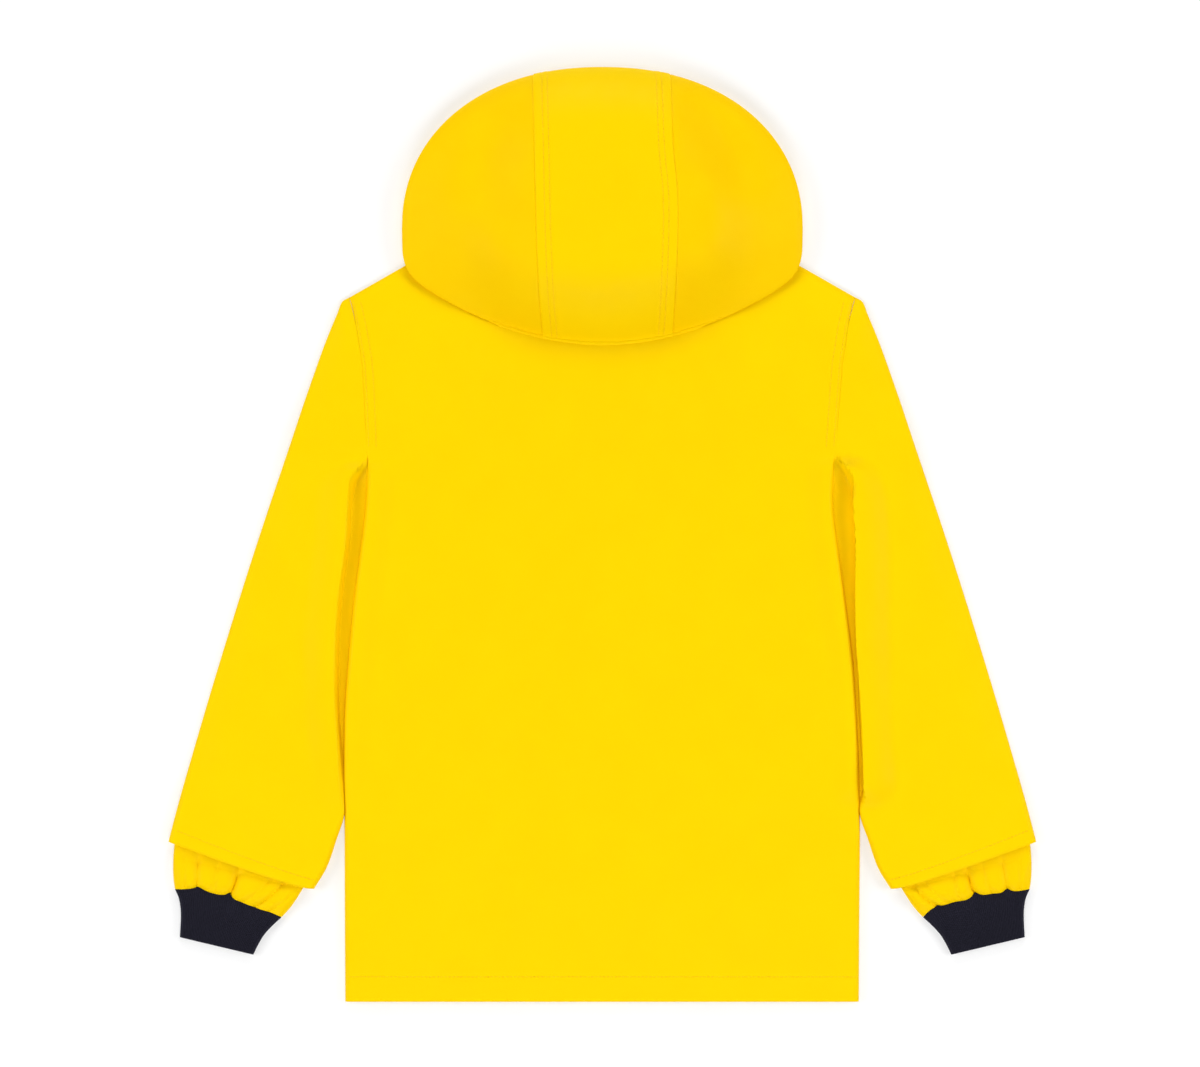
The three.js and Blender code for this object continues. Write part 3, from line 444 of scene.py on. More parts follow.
def ridge(distance, width):
    return np.exp(-((distance / width) ** 2))


def waves(x, up):
    total = np.zeros(np.shape(x))
    for height, length, direction, phase in WAVES:
        turn = math.radians(direction)
        along = x * math.cos(turn) + up * math.sin(turn)
        total += height * np.sin(2 * np.pi * along / length + phase)
    return total


def relief(table, x, up):
    """The height of ridges and troughs listed in a table."""
    total = np.zeros(np.shape(x))
    for centre_x, centre_up, direction, length, width, height in table:
        turn = math.radians(direction)
        along = (x - centre_x) * math.cos(turn) + (up - centre_up) * math.sin(turn)
        across = (up - centre_up) * math.cos(turn) - (x - centre_x) * math.sin(turn)
        total += height * ridge(across, width) * np.exp(-((2 * along / length) ** 4))
    return total


def stitch_grooves(distance, rows):
    return -GROOVE_DEPTH * sum(ridge(distance - row, GROOVE_WIDTH) for row in rows)


def seam_dip(distance, depth=SEAM_DIP):
    return -depth * (1 - rounded(distance, SEAM_DIP_WIDTH))


def felled(distance, width=FELL_WIDTH, rows=FELL_ROWS):
    """The relief of a felled seam at a distance from the seam, on the side that its stitches are on."""
    strip = FELL_HEIGHT * (1 - smooth(distance, width - FELL_EDGE, width + FELL_EDGE))
    return strip + seam_dip(distance) + stitch_grooves(distance, rows)


def hood_felled(distance):
    return felled(distance, HOOD_FELL_WIDTH, HOOD_FELL_ROWS) + seam_dip(distance, HOOD_SEAM_DEEPER)


def hem_relief(from_hem, depth, edges):
    """The raised band of a hem, with its row of stitches and its rolled edge."""
    band = FELL_HEIGHT * (1 - smooth(from_hem - depth, *edges[0]))
    edge = HEM_EDGE_DROP * (1 - rounded(from_hem, HEM_EDGE_ROLL))
    return band + stitch_grooves(from_hem, [depth]) - edge


def hem_fold(from_hem, depth, edges):
    return HEM_FOLD * (1 - smooth(from_hem - depth, *edges[1]))


def inland(runs, *distances):
    """From 0 near an edge to 1 away from every edge, by a run for the distance from each."""
    return math.prod(smooth(distance, *run) for distance, run in zip(distances, runs))


def stations(length, coarse, zones):
    """Shares of a length, closer together in zones, each given as its start, end and spacing."""
    at = np.linspace(0, length, int(length * STATION_SAMPLES) + 1)
    spacing = np.full(at.shape, float(coarse))
    for start, end, fine in zones:
        away = np.maximum(np.maximum(start - at, at - end), 0)
        spacing = np.minimum(spacing, fine + STATION_GROWTH * away)
    count = np.concatenate([[0], np.cumsum((at[1] - at[0]) / spacing[1:])])
    steps = max(2, round(count[-1]))
    return np.interp(np.linspace(0, count[-1], steps + 1), count, at) / length


def both_ends(length, width, spacing):
    """Zones of that width and spacing at the two ends of a length."""
    return [(0, width, spacing), (length - width, length, spacing)]


def reach_of(points):
    """The distance along a row of points to each of them."""
    return np.concatenate([[0], np.cumsum(np.linalg.norm(np.diff(points, axis=0), axis=1))])


class Path:
    """A smooth curve through points, read by the share of its length."""

    def __init__(self, points):
        points = np.array(points, float)
        table = np.column_stack([reach_of(points), points])
        fine = np.linspace(0, table[-1, 0], PATH_POINTS)
        self.points = np.column_stack([read(table, i + 1, fine) for i in range(points.shape[1])])
        self.reach = reach_of(self.points)
        self.length = self.reach[-1]

    def at(self, share):
        place = np.asarray(share) * self.length
        return np.stack([np.interp(place, self.reach, column) for column in self.points.T], axis=-1)


# Meshes


def to_frame(points):
    """Millimetres from the hem to metres in the model's frame."""
    return np.asarray(points, float).reshape(-1, 3) * MM + [0, HEM_Y, 0]


def quads(*corners):
    return np.stack(corners, axis=-1).reshape(-1, 4)


def numbers(rows, columns, closed):
    """The numbers of a grid's points. closed repeats the first column at the end."""
    at = np.arange(rows * columns).reshape(rows, columns)
    return np.concatenate([at, at[:, :1]], axis=1) if closed else at


def sheet_faces(at):
    return quads(at[:-1, :-1], at[:-1, 1:], at[1:, 1:], at[1:, :-1])


def shell(outer, inner, closed=False, end_rim=True):
    """Points and faces of the cloth between two grids. closed joins each row's end to its start."""
    rows, columns = outer.shape[:2]
    at = numbers(rows, columns, closed)
    under = at + rows * columns
    faces = [
        sheet_faces(at),
        quads(under[1:, :-1], under[1:, 1:], under[:-1, 1:], under[:-1, :-1]),
        quads(at[0, 1:], at[0, :-1], under[0, :-1], under[0, 1:]),
    ]
    if end_rim:
        faces.append(quads(at[-1, :-1], at[-1, 1:], under[-1, 1:], under[-1, :-1]))
    if not closed:
        faces.append(quads(at[:-1, 0], at[1:, 0], under[1:, 0], under[:-1, 0]))
        faces.append(quads(at[1:, -1], at[:-1, -1], under[:-1, -1], under[1:, -1]))
    return np.concatenate([outer.reshape(-1, 3), inner.reshape(-1, 3)]), np.concatenate(faces)


def tube(surface, alongs, upper, lower):
    """The cloth of a flattened tube. upper and lower are the shares of its width at which its two sides
    have points, and surface gives its outer face and, if inside, its inner one."""
    shares = np.concatenate([upper, lower[1:-1][::-1]])
    along, share = np.meshgrid(alongs, shares, indexing="ij")
    is_upper = np.broadcast_to(np.arange(len(shares)) < len(upper), share.shape)
    outer, inner = (surface(along, share, is_upper, inside) for inside in (False, True))
    return shell(outer, inner, closed=True)


def faced_out(points, faces):
    """The faces of a closed part, turned out."""
    centred = points - points.mean(axis=0)
    a, b, c, d = (centred[faces[:, i]] for i in range(4))
    volume = np.sum(a * np.cross(b, c)) + np.sum(a * np.cross(c, d))
    return faces if volume > 0 else faces[:, ::-1]


def new_mesh(name, points, faces):
    mesh = bpy.data.meshes.new(name)
    mesh.from_pydata(to_frame(points).tolist(), [], faces)
    return mesh


def add_object(name, data):
    made = bpy.data.objects.new(name, data)
    bpy.context.scene.collection.objects.link(made)
    return made


def mesh_object(name, parts, sharp=35):
    """An object of one or more closed parts, each as points and quads."""
    starts = np.cumsum([0] + [len(points) for points, _ in parts])
    faces = np.concatenate([faced_out(*part) + start for part, start in zip(parts, starts)])
    points = np.concatenate([points for points, _ in parts])
    made = add_object(name, new_mesh(name, points, faces.tolist()))
    tidy(made, sharp)
    return made


def tidy(made, sharp=35):
    """Merges points that lie together, drops faces that have no area, and shades the rest smooth."""
    work = bmesh.new()
    work.from_mesh(made.data)
    bmesh.ops.remove_doubles(work, verts=work.verts, dist=MERGE_DISTANCE)
    bmesh.ops.dissolve_degenerate(work, edges=work.edges, dist=MERGE_DISTANCE)
    work.to_mesh(made.data)
    work.free()
    made.data.shade_smooth()
    made.data.set_sharp_from_angle(angle=math.radians(sharp))


def add_part(made, part):
    """Adds one more closed part to an object."""
    extra = new_mesh("extra", part[0], faced_out(*part).tolist())
    work = bmesh.new()
    work.from_mesh(made.data)
    work.from_mesh(extra)
    work.to_mesh(made.data)
    work.free()
    bpy.data.meshes.remove(extra)
    tidy(made)


def cut(made, outlines):
    """Cuts upright holes with the given outlines through the low parts of an object."""
    for outline in outlines:
        count = len(outline)
        rings = [np.column_stack([outline, np.full(count, height)]) for height in CUT_HEIGHTS]
        sides = [[i, (i + 1) % count, (i + 1) % count + count, i + count] for i in range(count)]
        ends = [list(range(count))[::-1], list(range(count, 2 * count))]
        cutter_mesh = new_mesh("cutter", np.concatenate(rings), sides + ends)
        work = bmesh.new()
        work.from_mesh(cutter_mesh)
        bmesh.ops.recalc_face_normals(work, faces=work.faces)
        work.to_mesh(cutter_mesh)
        work.free()
        cutter = add_object("cutter", cutter_mesh)
        modifier = made.modifiers.new("cut", "BOOLEAN")
        modifier.object = cutter
        modifier.operation = "DIFFERENCE"
        modifier.solver = "EXACT"
        evaluated = made.evaluated_get(bpy.context.evaluated_depsgraph_get())
        result = bpy.data.meshes.new_from_object(evaluated)
        made.modifiers.clear()
        made.data = result
        bpy.data.objects.remove(cutter)
        bpy.data.meshes.remove(cutter_mesh)
    tidy(made)


def unit(vectors):
    return vectors / np.linalg.norm(vectors, axis=-1, keepdims=True)


def stitches(path, normals):
    """Short threads laid end to end along a path on the cloth, each one dipping in at its ends."""
    reach = reach_of(path)
    count = int((reach[-1] - STITCH_LENGTH) / STITCH_PITCH)
    starts = (reach[-1] - count * STITCH_PITCH) / 2 + STITCH_PITCH * np.arange(count)
    shares, lifts = np.array(STITCH_SHAPE).T
    place = starts[:, None] + shares * STITCH_LENGTH

    def at(values):
        return np.stack([np.interp(place, reach, column) for column in values.T], axis=-1)

    up = unit(at(normals))
    centre = at(path) + 2 * THREAD_RADIUS * lifts[:, None] * up
    side = np.cross(unit(centre[:, -1:] - centre[:, :1]), up)
    turns = 2 * np.pi * np.arange(THREAD_SIDES) / THREAD_SIDES
    ring = np.cos(turns)[:, None] * up[:, :, None] + np.sin(turns)[:, None] * side[:, :, None]
    points = (centre[:, :, None] + THREAD_RADIUS * ring).reshape(-1, 3)
    size = len(shares) * THREAD_SIDES
    wall = sheet_faces(numbers(len(shares), THREAD_SIDES, True))
    one = np.concatenate([wall, THREAD_CAP[:, ::-1], THREAD_CAP + size - THREAD_SIDES])
    return points, (one + size * np.arange(count)[:, None, None]).reshape(-1, 4)


def thread_object(name, rows):
    return mesh_object(name, [stitches(path, normals) for path, normals in rows], sharp=60)


def flat_row(x, up, height):
    """A stitch row on cloth that lies flat, as a path and its upward normals."""
    path = np.column_stack([x, up, height])
    return path, np.tile([0.0, 0.0, 1.0], (len(path), 1))


# Materials


def new_material(name, roughness, specular, sheen=0.0):
    material = bpy.data.materials.new(name)
    material.use_nodes = True
    shader = material.node_tree.nodes["Principled BSDF"]
    shader.inputs["Roughness"].default_value = roughness
    shader.inputs["Specular IOR Level"].default_value = specular
    shader.inputs["Sheen Weight"].default_value = sheen
    return material, material.node_tree, shader


def noise(tree, size, detail, roughness=0.5):
    """A noise whose features are about size millimetres across."""
    place = tree.nodes.new("ShaderNodeTexCoord")
    made = tree.nodes.new("ShaderNodeTexNoise")
    made.inputs["Scale"].default_value = 1 / (size * MM)
    made.inputs["Detail"].default_value = detail
    made.inputs["Roughness"].default_value = roughness
    tree.links.new(place.outputs["Object"], made.inputs["Vector"])
    return made.outputs["Fac"]


def blend_colours(tree, amount, run, colours):
    """The first colour where amount is below the run, the second above it."""
    ramp = tree.nodes.new("ShaderNodeValToRGB")
    for element, position, colour in zip(ramp.color_ramp.elements, run, colours):
        element.position = position
        element.color = (*colour, 1)
    tree.links.new(amount, ramp.inputs["Fac"])
    return ramp.outputs["Color"]


def mixed(tree, amount, run, values):
    """A number between two values that follows amount over the run."""
    made = tree.nodes.new("ShaderNodeMapRange")
    for name, value in zip(("From Min", "From Max", "To Min", "To Max"), (*run, *values)):
        made.inputs[name].default_value = value
    tree.links.new(amount, made.inputs["Value"])
    return made.outputs["Result"]


def bump(tree, shader, layers):
    """Bumps the shader by layers of a height's output and its size in millimetres."""
    before = None
    for height, distance in layers:
        made = tree.nodes.new("ShaderNodeBump")
        made.inputs["Strength"].default_value = 1
        made.inputs["Distance"].default_value = distance * MM
        tree.links.new(height, made.inputs["Height"])
        if before:
            tree.links.new(before, made.inputs["Normal"])
        before = made.outputs["Normal"]
    tree.links.new(before, shader.inputs["Normal"])


def coated_cloth(name, deep, bright):
    """Smooth coated cloth: faint mottling, a fine grain from its knitted backing and a soft sheen."""
    material, tree, shader = new_material(name, 0.45, 0.025)
    mottle = blend_colours(tree, noise(tree, 34, 4, 0.62), (0.36, 0.66), (deep, bright))
    tree.links.new(mottle, shader.inputs["Base Color"])
    patches = mixed(tree, noise(tree, 9, 3), (0.35, 0.65), (0.4, 0.5))
    tree.links.new(patches, shader.inputs["Roughness"])
    grain = noise(tree, 0.7, 2)
    pucker = noise(tree, 5, 2)
    bump(tree, shader, [(grain, 0.018), (pucker, 0.05)])
    return material


def rib_knit():
    """Matt yarn with a faint sheen, a speckle of fluff and a fine bump."""
    material, tree, shader = new_material("rib_yarn", 0.9, 0.12, 0.18)
    shader.inputs["Sheen Roughness"].default_value = 0.5
    shader.inputs["Sheen Tint"].default_value = (0.35, 0.36, 0.5, 1)
    colours = (0.0055, 0.0052, 0.0105), (0.015, 0.0142, 0.026)
    fluff = blend_colours(tree, noise(tree, 1.1, 4, 0.7), (0.3, 0.75), colours)
    tree.links.new(fluff, shader.inputs["Base Color"])
    bump(tree, shader, [(noise(tree, 0.5, 3, 0.7), 0.12), (noise(tree, 2.2, 2), 0.1)])
    return material


def plain_material(name, colours, grain_size, grain_depth, roughness, specular):
    material, tree, shader = new_material(name, roughness, specular)
    speckle = blend_colours(tree, noise(tree, grain_size * 3, 3), (0.35, 0.65), colours)
    tree.links.new(speckle, shader.inputs["Base Color"])
    bump(tree, shader, [(noise(tree, grain_size, 2), grain_depth)])
    return material


cloth_material = coated_cloth("coated_cloth", (0.9, 0.594, 0.0003), (0.905, 0.606, 0.0004))
# The hood's side panels use a deeper yellow copy of the coat's cloth: painted shade for their sides, which
# slope away from the light.
hood_side_painted_shade_material = coated_cloth("hood_side_cloth_painted_shade", (0.9, 0.562, 0.0003), (0.905, 0.58, 0.0005))
cuff_material = coated_cloth("cuff_cloth", (0.895, 0.575, 0.0003), (0.9, 0.59, 0.0004))
rib_material = rib_knit()
thread_material = plain_material("thread", ((0.86, 0.52, 0.002), (0.93, 0.6, 0.003)), 0.3, 0.04, 0.6, 0.2)
stud_material = plain_material("stud", ((0.9, 0.6, 0.002), (0.92, 0.63, 0.003)), 0.8, 0.006, 0.3, 0.4)


def finish_piece(piece, material, replaced=None):
    """Gives a piece its material and slot, and fixes it to the body that it belongs to."""
    piece.data.materials.clear()
    piece.data.materials.append(material)
    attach(piece, "root")
    if replaced:
        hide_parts(replaced)


# Outlines that more than one piece follows


def hood_fall(x):
    """The lower edge of the hood, where it lies over the back."""
    curve = HOOD_FALL_UP + HOOD_FALL_RISE * (x / HOOD_FALL_HALF) ** 2
    corner = np.maximum(0, 1 - np.abs(x / HOOD_HALF) ** HOOD_CORNER_POWER) ** HOOD_CORNER_ROUND
    return HOOD_WIDEST_UP - (HOOD_WIDEST_UP - curve) * corner


def pressed_share(x):
    """How far the hood's roll is pressed into the back at a place across it."""
    return 1 - smooth(np.abs(x), *HOOD_PRESSED_HALF)


def body_half(side, up):
    return by_side(BODY_EDGE, side, np.clip(up, 0, SHOULDER_UP))


def shoulder(x):
    share = (np.abs(x) - NECK_HALF) / (SHOULDER_HALF - NECK_HALF)
    return NECK_UP + (SHOULDER_UP - NECK_UP) * share


def neckline_up(x, drop):
    """The top edge of a panel at a place across it."""
    inside = np.sqrt(np.maximum(0, 1 - (np.abs(x) / NECK_HALF) ** 2))
    return np.where(np.abs(x) < NECK_HALF, NECK_UP - drop * inside, shoulder(x))


# Body


def armhole_height(up):
    """How far the cloth rises along the armhole, as a share: low at both of its ends."""
    return smooth(up - UNDERARM_UP, -ARMHOLE_RISE, 0) * rise(SHOULDER_UP - up, SLEEVE_ROLL)


def gutter_width(side, up):
    within = np.clip(up, *GUTTER_ENDS)
    return np.where(np.asarray(side) < 0, read(GUTTERS[-1], 1, within), read(GUTTERS[1], 1, within))


def crest(from_wall, width):
    """The share of a crest at a distance from the wall of a gutter of that width."""
    return (1 - smooth(from_wall, *CREST_RUN)) * smooth(width, 0, CREST_FULL_WIDTH)


def back_height(x, up):
    """Height of the back's upper face."""
    from_side = body_half(x, up) - np.abs(x)
    from_top = (np.minimum(shoulder(x), NECK_UP - BACK_NECK_DROP) - up) * math.cos(SHOULDER_SLOPE)
    beside = rise(from_side, SOFT_ROLL)
    beside = beside + SIDE_CRISP_SHARE * (rounded(from_side, SIDE_ROLL) - beside)
    at_side = beside + (1 - beside) * armhole_height(up)
    at_top = rise(from_top, TOP_ROLL)
    at_top = at_top + TOP_CRISP_SHARE * (rounded(from_top, CRISP_ROLL) - at_top)
    near_hem = HEM_LOFT_SHARE + (1 - HEM_LOFT_SHARE) * rise(up, HEM_LOFT_RISE)
    height = EDGE_TOP + (BACK_TOP - EDGE_TOP) * at_side * at_top * near_hem
    height = height + BODY_CREST * rounded(from_side, SIDE_ROLL) * crest(from_side, gutter_width(x, up))
    below = hood_fall(x) - up
    pressed = smooth(-below, *PRESS_EDGE) * pressed_share(x)
    height = height - HOOD_PRESS_DEPTH * pressed * smooth(from_top, *PRESS_END)
    near, far = BELOW_HOOD_RUN
    rising = (1 - (1 - np.clip(below / near, 0, 1)) ** 2) * (1 - smooth(below, near, far))
    height = height + BELOW_HOOD * rising * pressed_share(x)
    creased = (1 - pressed) * inland(BACK_INLAND, from_side, up, from_top)
    height = height + creased * (waves(x, up) + relief(BACK_RELIEF, x, up))
    height = height + smooth(up - UNDERARM_UP, *ARMHOLE_FELL) * felled(from_side)
    return height + hem_relief(up, HEM_DEPTH, HEM_EDGES)


def panel_rows(extra=()):
    return SHOULDER_UP * stations(SHOULDER_UP, PANEL_STEP, [*PANEL_ZONES, *extra])


def make_back():
    reach = 2 * SHOULDER_HALF
    shares = 2 * stations(reach, PANEL_STEP, both_ends(reach, 10, 0.7)) - 1
    seam_up, share = np.meshgrid(panel_rows(), shares, indexing="ij")
    up = seam_up / SHOULDER_UP * neckline_up(share * SHOULDER_HALF, BACK_NECK_DROP)
    x = share * body_half(share, seam_up)
    over = back_height(x, up)
    outer = np.stack([x, up, over], axis=-1)
    inner = np.stack([x, up, over - CLOTH - hem_fold(up, HEM_DEPTH, HEM_EDGES)], axis=-1)
    piece = mesh_object("coat_back", [shell(outer, inner)])
    hem_x = np.linspace(-HEM_ROW_HALF, HEM_ROW_HALF, 400)
    lines = [(hem_x, np.full(400, HEM_DEPTH))]
    above_underarm, below_shoulder = ARMHOLE_ROW_ENDS
    arm_up = np.linspace(UNDERARM_UP + above_underarm, SHOULDER_UP - below_shoulder, 200)
    for side in (-1, 1):
        lines += [(side * (body_half(side, arm_up) - distance), arm_up) for distance in FELL_ROWS]
    rows = [flat_row(x, up, back_height(x, up)) for x, up in lines]
    return piece, thread_object("back_stitches", rows)


def stud_ups():
    return np.linspace(STUD_FIRST_UP, STUD_LAST_UP, STUD_COUNT)


def make_front(side, node):
    """side is -1 for the wearer's left front, which lies outside in the overlap, and 1 for the right."""
    inner_front = side > 0
    near_studs = [(up - STUD_ZONE, up + STUD_ZONE, 0.9) for up in stud_ups()]
    reach = SHOULDER_HALF + OVERLAP_HALF
    overlap_end = OVERLAP_HALF + STUD_ZONE
    zones = [(0, overlap_end, 1.0), (overlap_end, 50, 1.4), (reach - 4, reach, 0.8)]
    place = reach * stations(reach, 4.5, zones) - OVERLAP_HALF
    seam_up, at_shoulder = np.meshgrid(panel_rows(near_studs), place, indexing="ij")
    up = seam_up / SHOULDER_UP * neckline_up(at_shoulder, FRONT_NECK_DROP)
    fixed = np.minimum(at_shoulder, PLACKET_HALF)
    beyond = np.maximum(at_shoulder - PLACKET_HALF, 0) / (SHOULDER_HALF - PLACKET_HALF)
    x = fixed + beyond * (body_half(side, seam_up) - PLACKET_HALF)
    low = np.zeros(x.shape)
    if inner_front:
        low = OVERLAP_LIFT * (1 - rise(x - OVERLAP_HALF - LAYER_GAP, OVERLAP_RAMP))
    facing = CLOTH * (1 - smooth(x - PLACKET_HALF, -FELL_EDGE, FELL_EDGE))
    high = low + CLOTH + np.maximum(facing, hem_fold(up, HEM_DEPTH, HEM_EDGES))
    if not inner_front:
        for stud_up in stud_ups():
            from_cap = np.hypot(x, up - stud_up) - STUD_CAP_RADIUS
            low = np.maximum(low, STUD_RECESS * (1 - smooth(from_cap, 0, STUD_RECESS_EDGE)))
    grooves = stitch_grooves(up, [HEM_DEPTH]) + stitch_grooves(x, [PLACKET_ROW])
    low = low - grooves / 2
    under = np.stack([side * x, up, low], axis=-1)
    over = np.stack([side * x, up, high], axis=-1)
    return mesh_object("coat_" + node, [shell(over, under)])


# Sleeves


def gutter(side, half, up):
    """Of a place on a sleeve: how far up a gutter's wall it is, as a share, its crest, its lean and the
    rise of the floor."""
    width = gutter_width(side, up)
    from_body = half - body_half(side, up)
    from_wall = from_body - width
    wall = smooth(from_wall, 1 - GUTTER_ROLL[side], 1)
    leaning = smooth(width, 2, CREST_FULL_WIDTH) * (1 - smooth(up, *LEAN_ENDS))
    lean = GUTTER_LEAN[side] * wall * (1 - smooth(from_wall, *LEAN_RUN)) * leaning
    slanting = np.clip(1 - from_body / np.maximum(width, 1), 0, 1) * smooth(width, 1, CREST_FULL_WIDTH)
    return wall, GUTTER_CREST[side] * wall * crest(from_wall, width), lean, GUTTER_SLANT[side] * slanting


class Sleeve:
    def __init__(self, side):
        self.side = side
        downward = np.linspace(UNDERARM_UP, SLEEVE_SEAM_TO, 40)
        beside = [(float(body_half(side, up)) + SLEEVE_CLEARANCE, up) for up in downward]
        self.seam = Path([*beside, *SLEEVE_SEAM_FREE])
        self.fold = Path(SLEEVE_FOLD)
        self.length = self.seam.length

    def armhole(self, share):
        up = UNDERARM_UP + (SHOULDER_UP - UNDERARM_UP) * share
        return np.stack([body_half(self.side, up) - SLEEVE_TUCK, up], axis=-1)

    def plan(self, along, share):
        """The place of a point of the sleeve, as its half and its up, and the sleeve's width there."""
        start, end = self.seam.at(along), self.fold.at(along)
        straight = start + (end - start) * share[..., None]
        ends = self.armhole(np.array([0.0, 1.0]))
        chord = ends[0] + (ends[1] - ends[0]) * share[..., None]
        place = straight + (self.armhole(share) - chord) * (1 - along[..., None]) ** 3
        place[..., 1] -= read(HEM_SAG, 1, share) * smooth(along, HEM_SAG_FROM, 1)
        return place, np.linalg.norm(end - start, axis=-1)

    def surface(self, along, share, upper, inside=False):
        """Points of the sleeve's outer or inner face."""
        place, width = self.plan(along, share)
        half, up = place[..., 0], place[..., 1]
        from_seam, from_fold = share * width, (1 - share) * width
        from_hole, from_hem = along * self.length, (1 - along) * self.length
        raised, crest_height, lean, slant = gutter(self.side, half, up)
        own_run, floor_run, crest_run = ARMHOLE_RUNS
        near_hem = smooth(along, *SLEEVE_HEM_RUN)
        top = SLEEVE_TOP + (SLEEVE_HEM_TOP - SLEEVE_TOP) * near_hem
        beside_fold = FOLD_LOW + (1 - FOLD_LOW) * rise(from_fold, SLEEVE_ROLL)
        beside_fold = beside_fold + (1 - beside_fold) * near_hem * FOLD_FILLED
        at_hole = rise(SHOULDER_UP - up, SLEEVE_ROLL)
        full = raised * (at_hole + (beside_fold - at_hole) * smooth(from_hole, 0, own_run))
        tip = smooth(up, *GUTTER_TIP[0]) * (1 - smooth(up, *GUTTER_TIP[1]))
        floor_top = EDGE_TOP + (GUTTER_FLOOR - EDGE_TOP) * smooth(from_hole, 0, floor_run)
        floor_top = floor_top + slant + GUTTER_TIP_RISE * tip
        thick = floor_top + (top - floor_top) * full + crest_height * smooth(from_hole, 0, crest_run)
        creased = inland(SLEEVE_INLAND, from_seam, from_fold, from_hole)
        creases = waves(self.side * half, up) + relief(SLEEVE_RELIEF[self.side], half, up)
        thick = thick + creased * creases
        thick = thick - SEAM_DIP * (1 - smooth(from_hole, SLEEVE_TUCK, 3 * SLEEVE_TUCK))
        thick = thick + hem_relief(from_hem, SLEEVE_HEM_DEPTH, SLEEVE_HEM_EDGES)
        inset = inside * (CLOTH + hem_fold(from_hem, SLEEVE_HEM_DEPTH, SLEEVE_HEM_EDGES))
        radius = np.minimum(thick / 2, FOLD_RADIUS)
        seam_radius = radius * (1 - smooth(up, *SLEEVE_SEAM_SHARP)) + SHARP_RADIUS
        edge = rounded(from_seam, seam_radius) * rounded(from_fold, radius)
        high = radius + (thick - inset - radius) * edge
        low = radius - (radius - inset) * edge
        inward = inset * (1 - rounded(np.minimum(from_seam, from_fold), 2 * FOLD_RADIUS)) ** 2
        inward = np.where(from_seam < from_fold, inward, -inward)
        across_wall = np.where(upper, inset * 4 * raised * (1 - raised) - lean, 0.0)
        x = self.side * (half + inward + across_wall)
        return np.stack([x, up, np.where(upper, high, low)], axis=-1)


def make_sleeve(side, name):
    sleeve = Sleeve(side)
    length, width = sleeve.length, SLEEVE_WIDTH
    alongs = stations(length, SLEEVE_STEP, [(0, 3, 0.6), (length - 12, length, 0.8)])
    upper = stations(width, SLEEVE_STEP, [(0, 3, 0.5), (0, 26, 1.3), (width - 5, width, 0.6)])
    lower = stations(width, 5, [(0, 3, 0.7), (width - 4, width, 0.8)])
    piece = mesh_object("coat_" + name, [tube(sleeve.surface, alongs, upper, lower)])
    share = np.linspace(*SLEEVE_HEM_ROW, 300)
    along = np.full(300, 1 - SLEEVE_HEM_DEPTH / length)
    row = sleeve.surface(along, share, True)
    return piece, thread_object(name + "_stitches", [flat_row(*row.T)])


# Cuffs


def table_point(table, at):
    return np.stack([read(table, 1, at), read(table, 2, at)], axis=-1)


def cuff_place(side, edges, along, share, near_seam):
    """The x and up of places on a cuff, its width there and the distance from its nearer edge."""
    inner_edge, outer_edge = table_point(edges[0], along), table_point(edges[1], along)
    width = np.linalg.norm(outer_edge - inner_edge, axis=-1)
    place = inner_edge + (outer_edge - inner_edge) * share[..., None]
    place[..., 1] += read(SEAM_RISE[side], 1, share) * near_seam**SEAM_SHARPNESS
    return side * place[..., 0], place[..., 1], width, np.minimum(share, 1 - share) * width


def storm_cuff_surface(side, along, share, upper, inside):
    x, up, width, distance = cuff_place(side, (CUFF_INNER, CUFF_OUTER), along, share, along)
    free = np.clip((along - CUFF_FREE_FROM) / (1 - CUFF_FREE_FROM), 0, 1)
    base = CUFF_BASE * (1 - smooth(free, 0, CUFF_SETTLED))
    near_edges = rise(share, CUFF_EDGE_SHARE) * rise(1 - share, CUFF_EDGE_SHARE)
    top = base + CUFF_THROUGH + CUFF_PUFF * np.sin(np.pi * PUFF_WAVE * free) * near_edges
    run = np.clip((along - 1 + GATHER_RUN) / GATHER_RUN, 0, 1)
    hollow_power, crease_power = GATHER_POWERS
    for centre, hollow, crease, spread, lean in GATHERS[side]:
        away = np.abs((share - centre) * width - lean * (1 - run)) / spread
        depth = hollow * np.exp(-(away**hollow_power))
        depth = depth + crease * np.exp(-((away / CREASE_NARROWER) ** crease_power))
        top = top - depth * smooth(run, 0, GATHER_FULL) * near_edges
    (rate, phase), (slow_rate, slow_phase) = PLEAT_WAVES
    pleats = np.sin(share * width * rate + phase * side) * np.sin(share * width * slow_rate + slow_phase)
    top = top + PLEAT_HEIGHT * pleats * run**3 * near_edges
    top = top + seam_dip((1 - along) * CUFF_LENGTH, CUFF_DIP) * near_edges
    top = np.maximum(top, base + CUFF_LAYERS_LEFT)
    middle = base + CUFF_LAYERS_LEFT / 2
    edge = rounded(distance, CUFF_THROUGH / 2)
    inset = CUFF_CLOTH * inside
    high = middle + (top - inset - middle) * edge
    low = middle - (middle - base - inset) * edge
    return np.stack([x, up, np.where(upper, high, low)], axis=-1)


def make_storm_cuff(side, name):
    width = CUFF_WIDTH
    upper = stations(width, 0.9, both_ends(width, 3, 0.5))
    lower = stations(width, 4, both_ends(width, 2, 0.8))
    alongs = stations(60, 2.2, [(30, 60, 1.0), (58, 60, 0.4)])
    surface = partial(storm_cuff_surface, side)
    return mesh_object("coat_" + name, [tube(surface, alongs, upper, lower)])


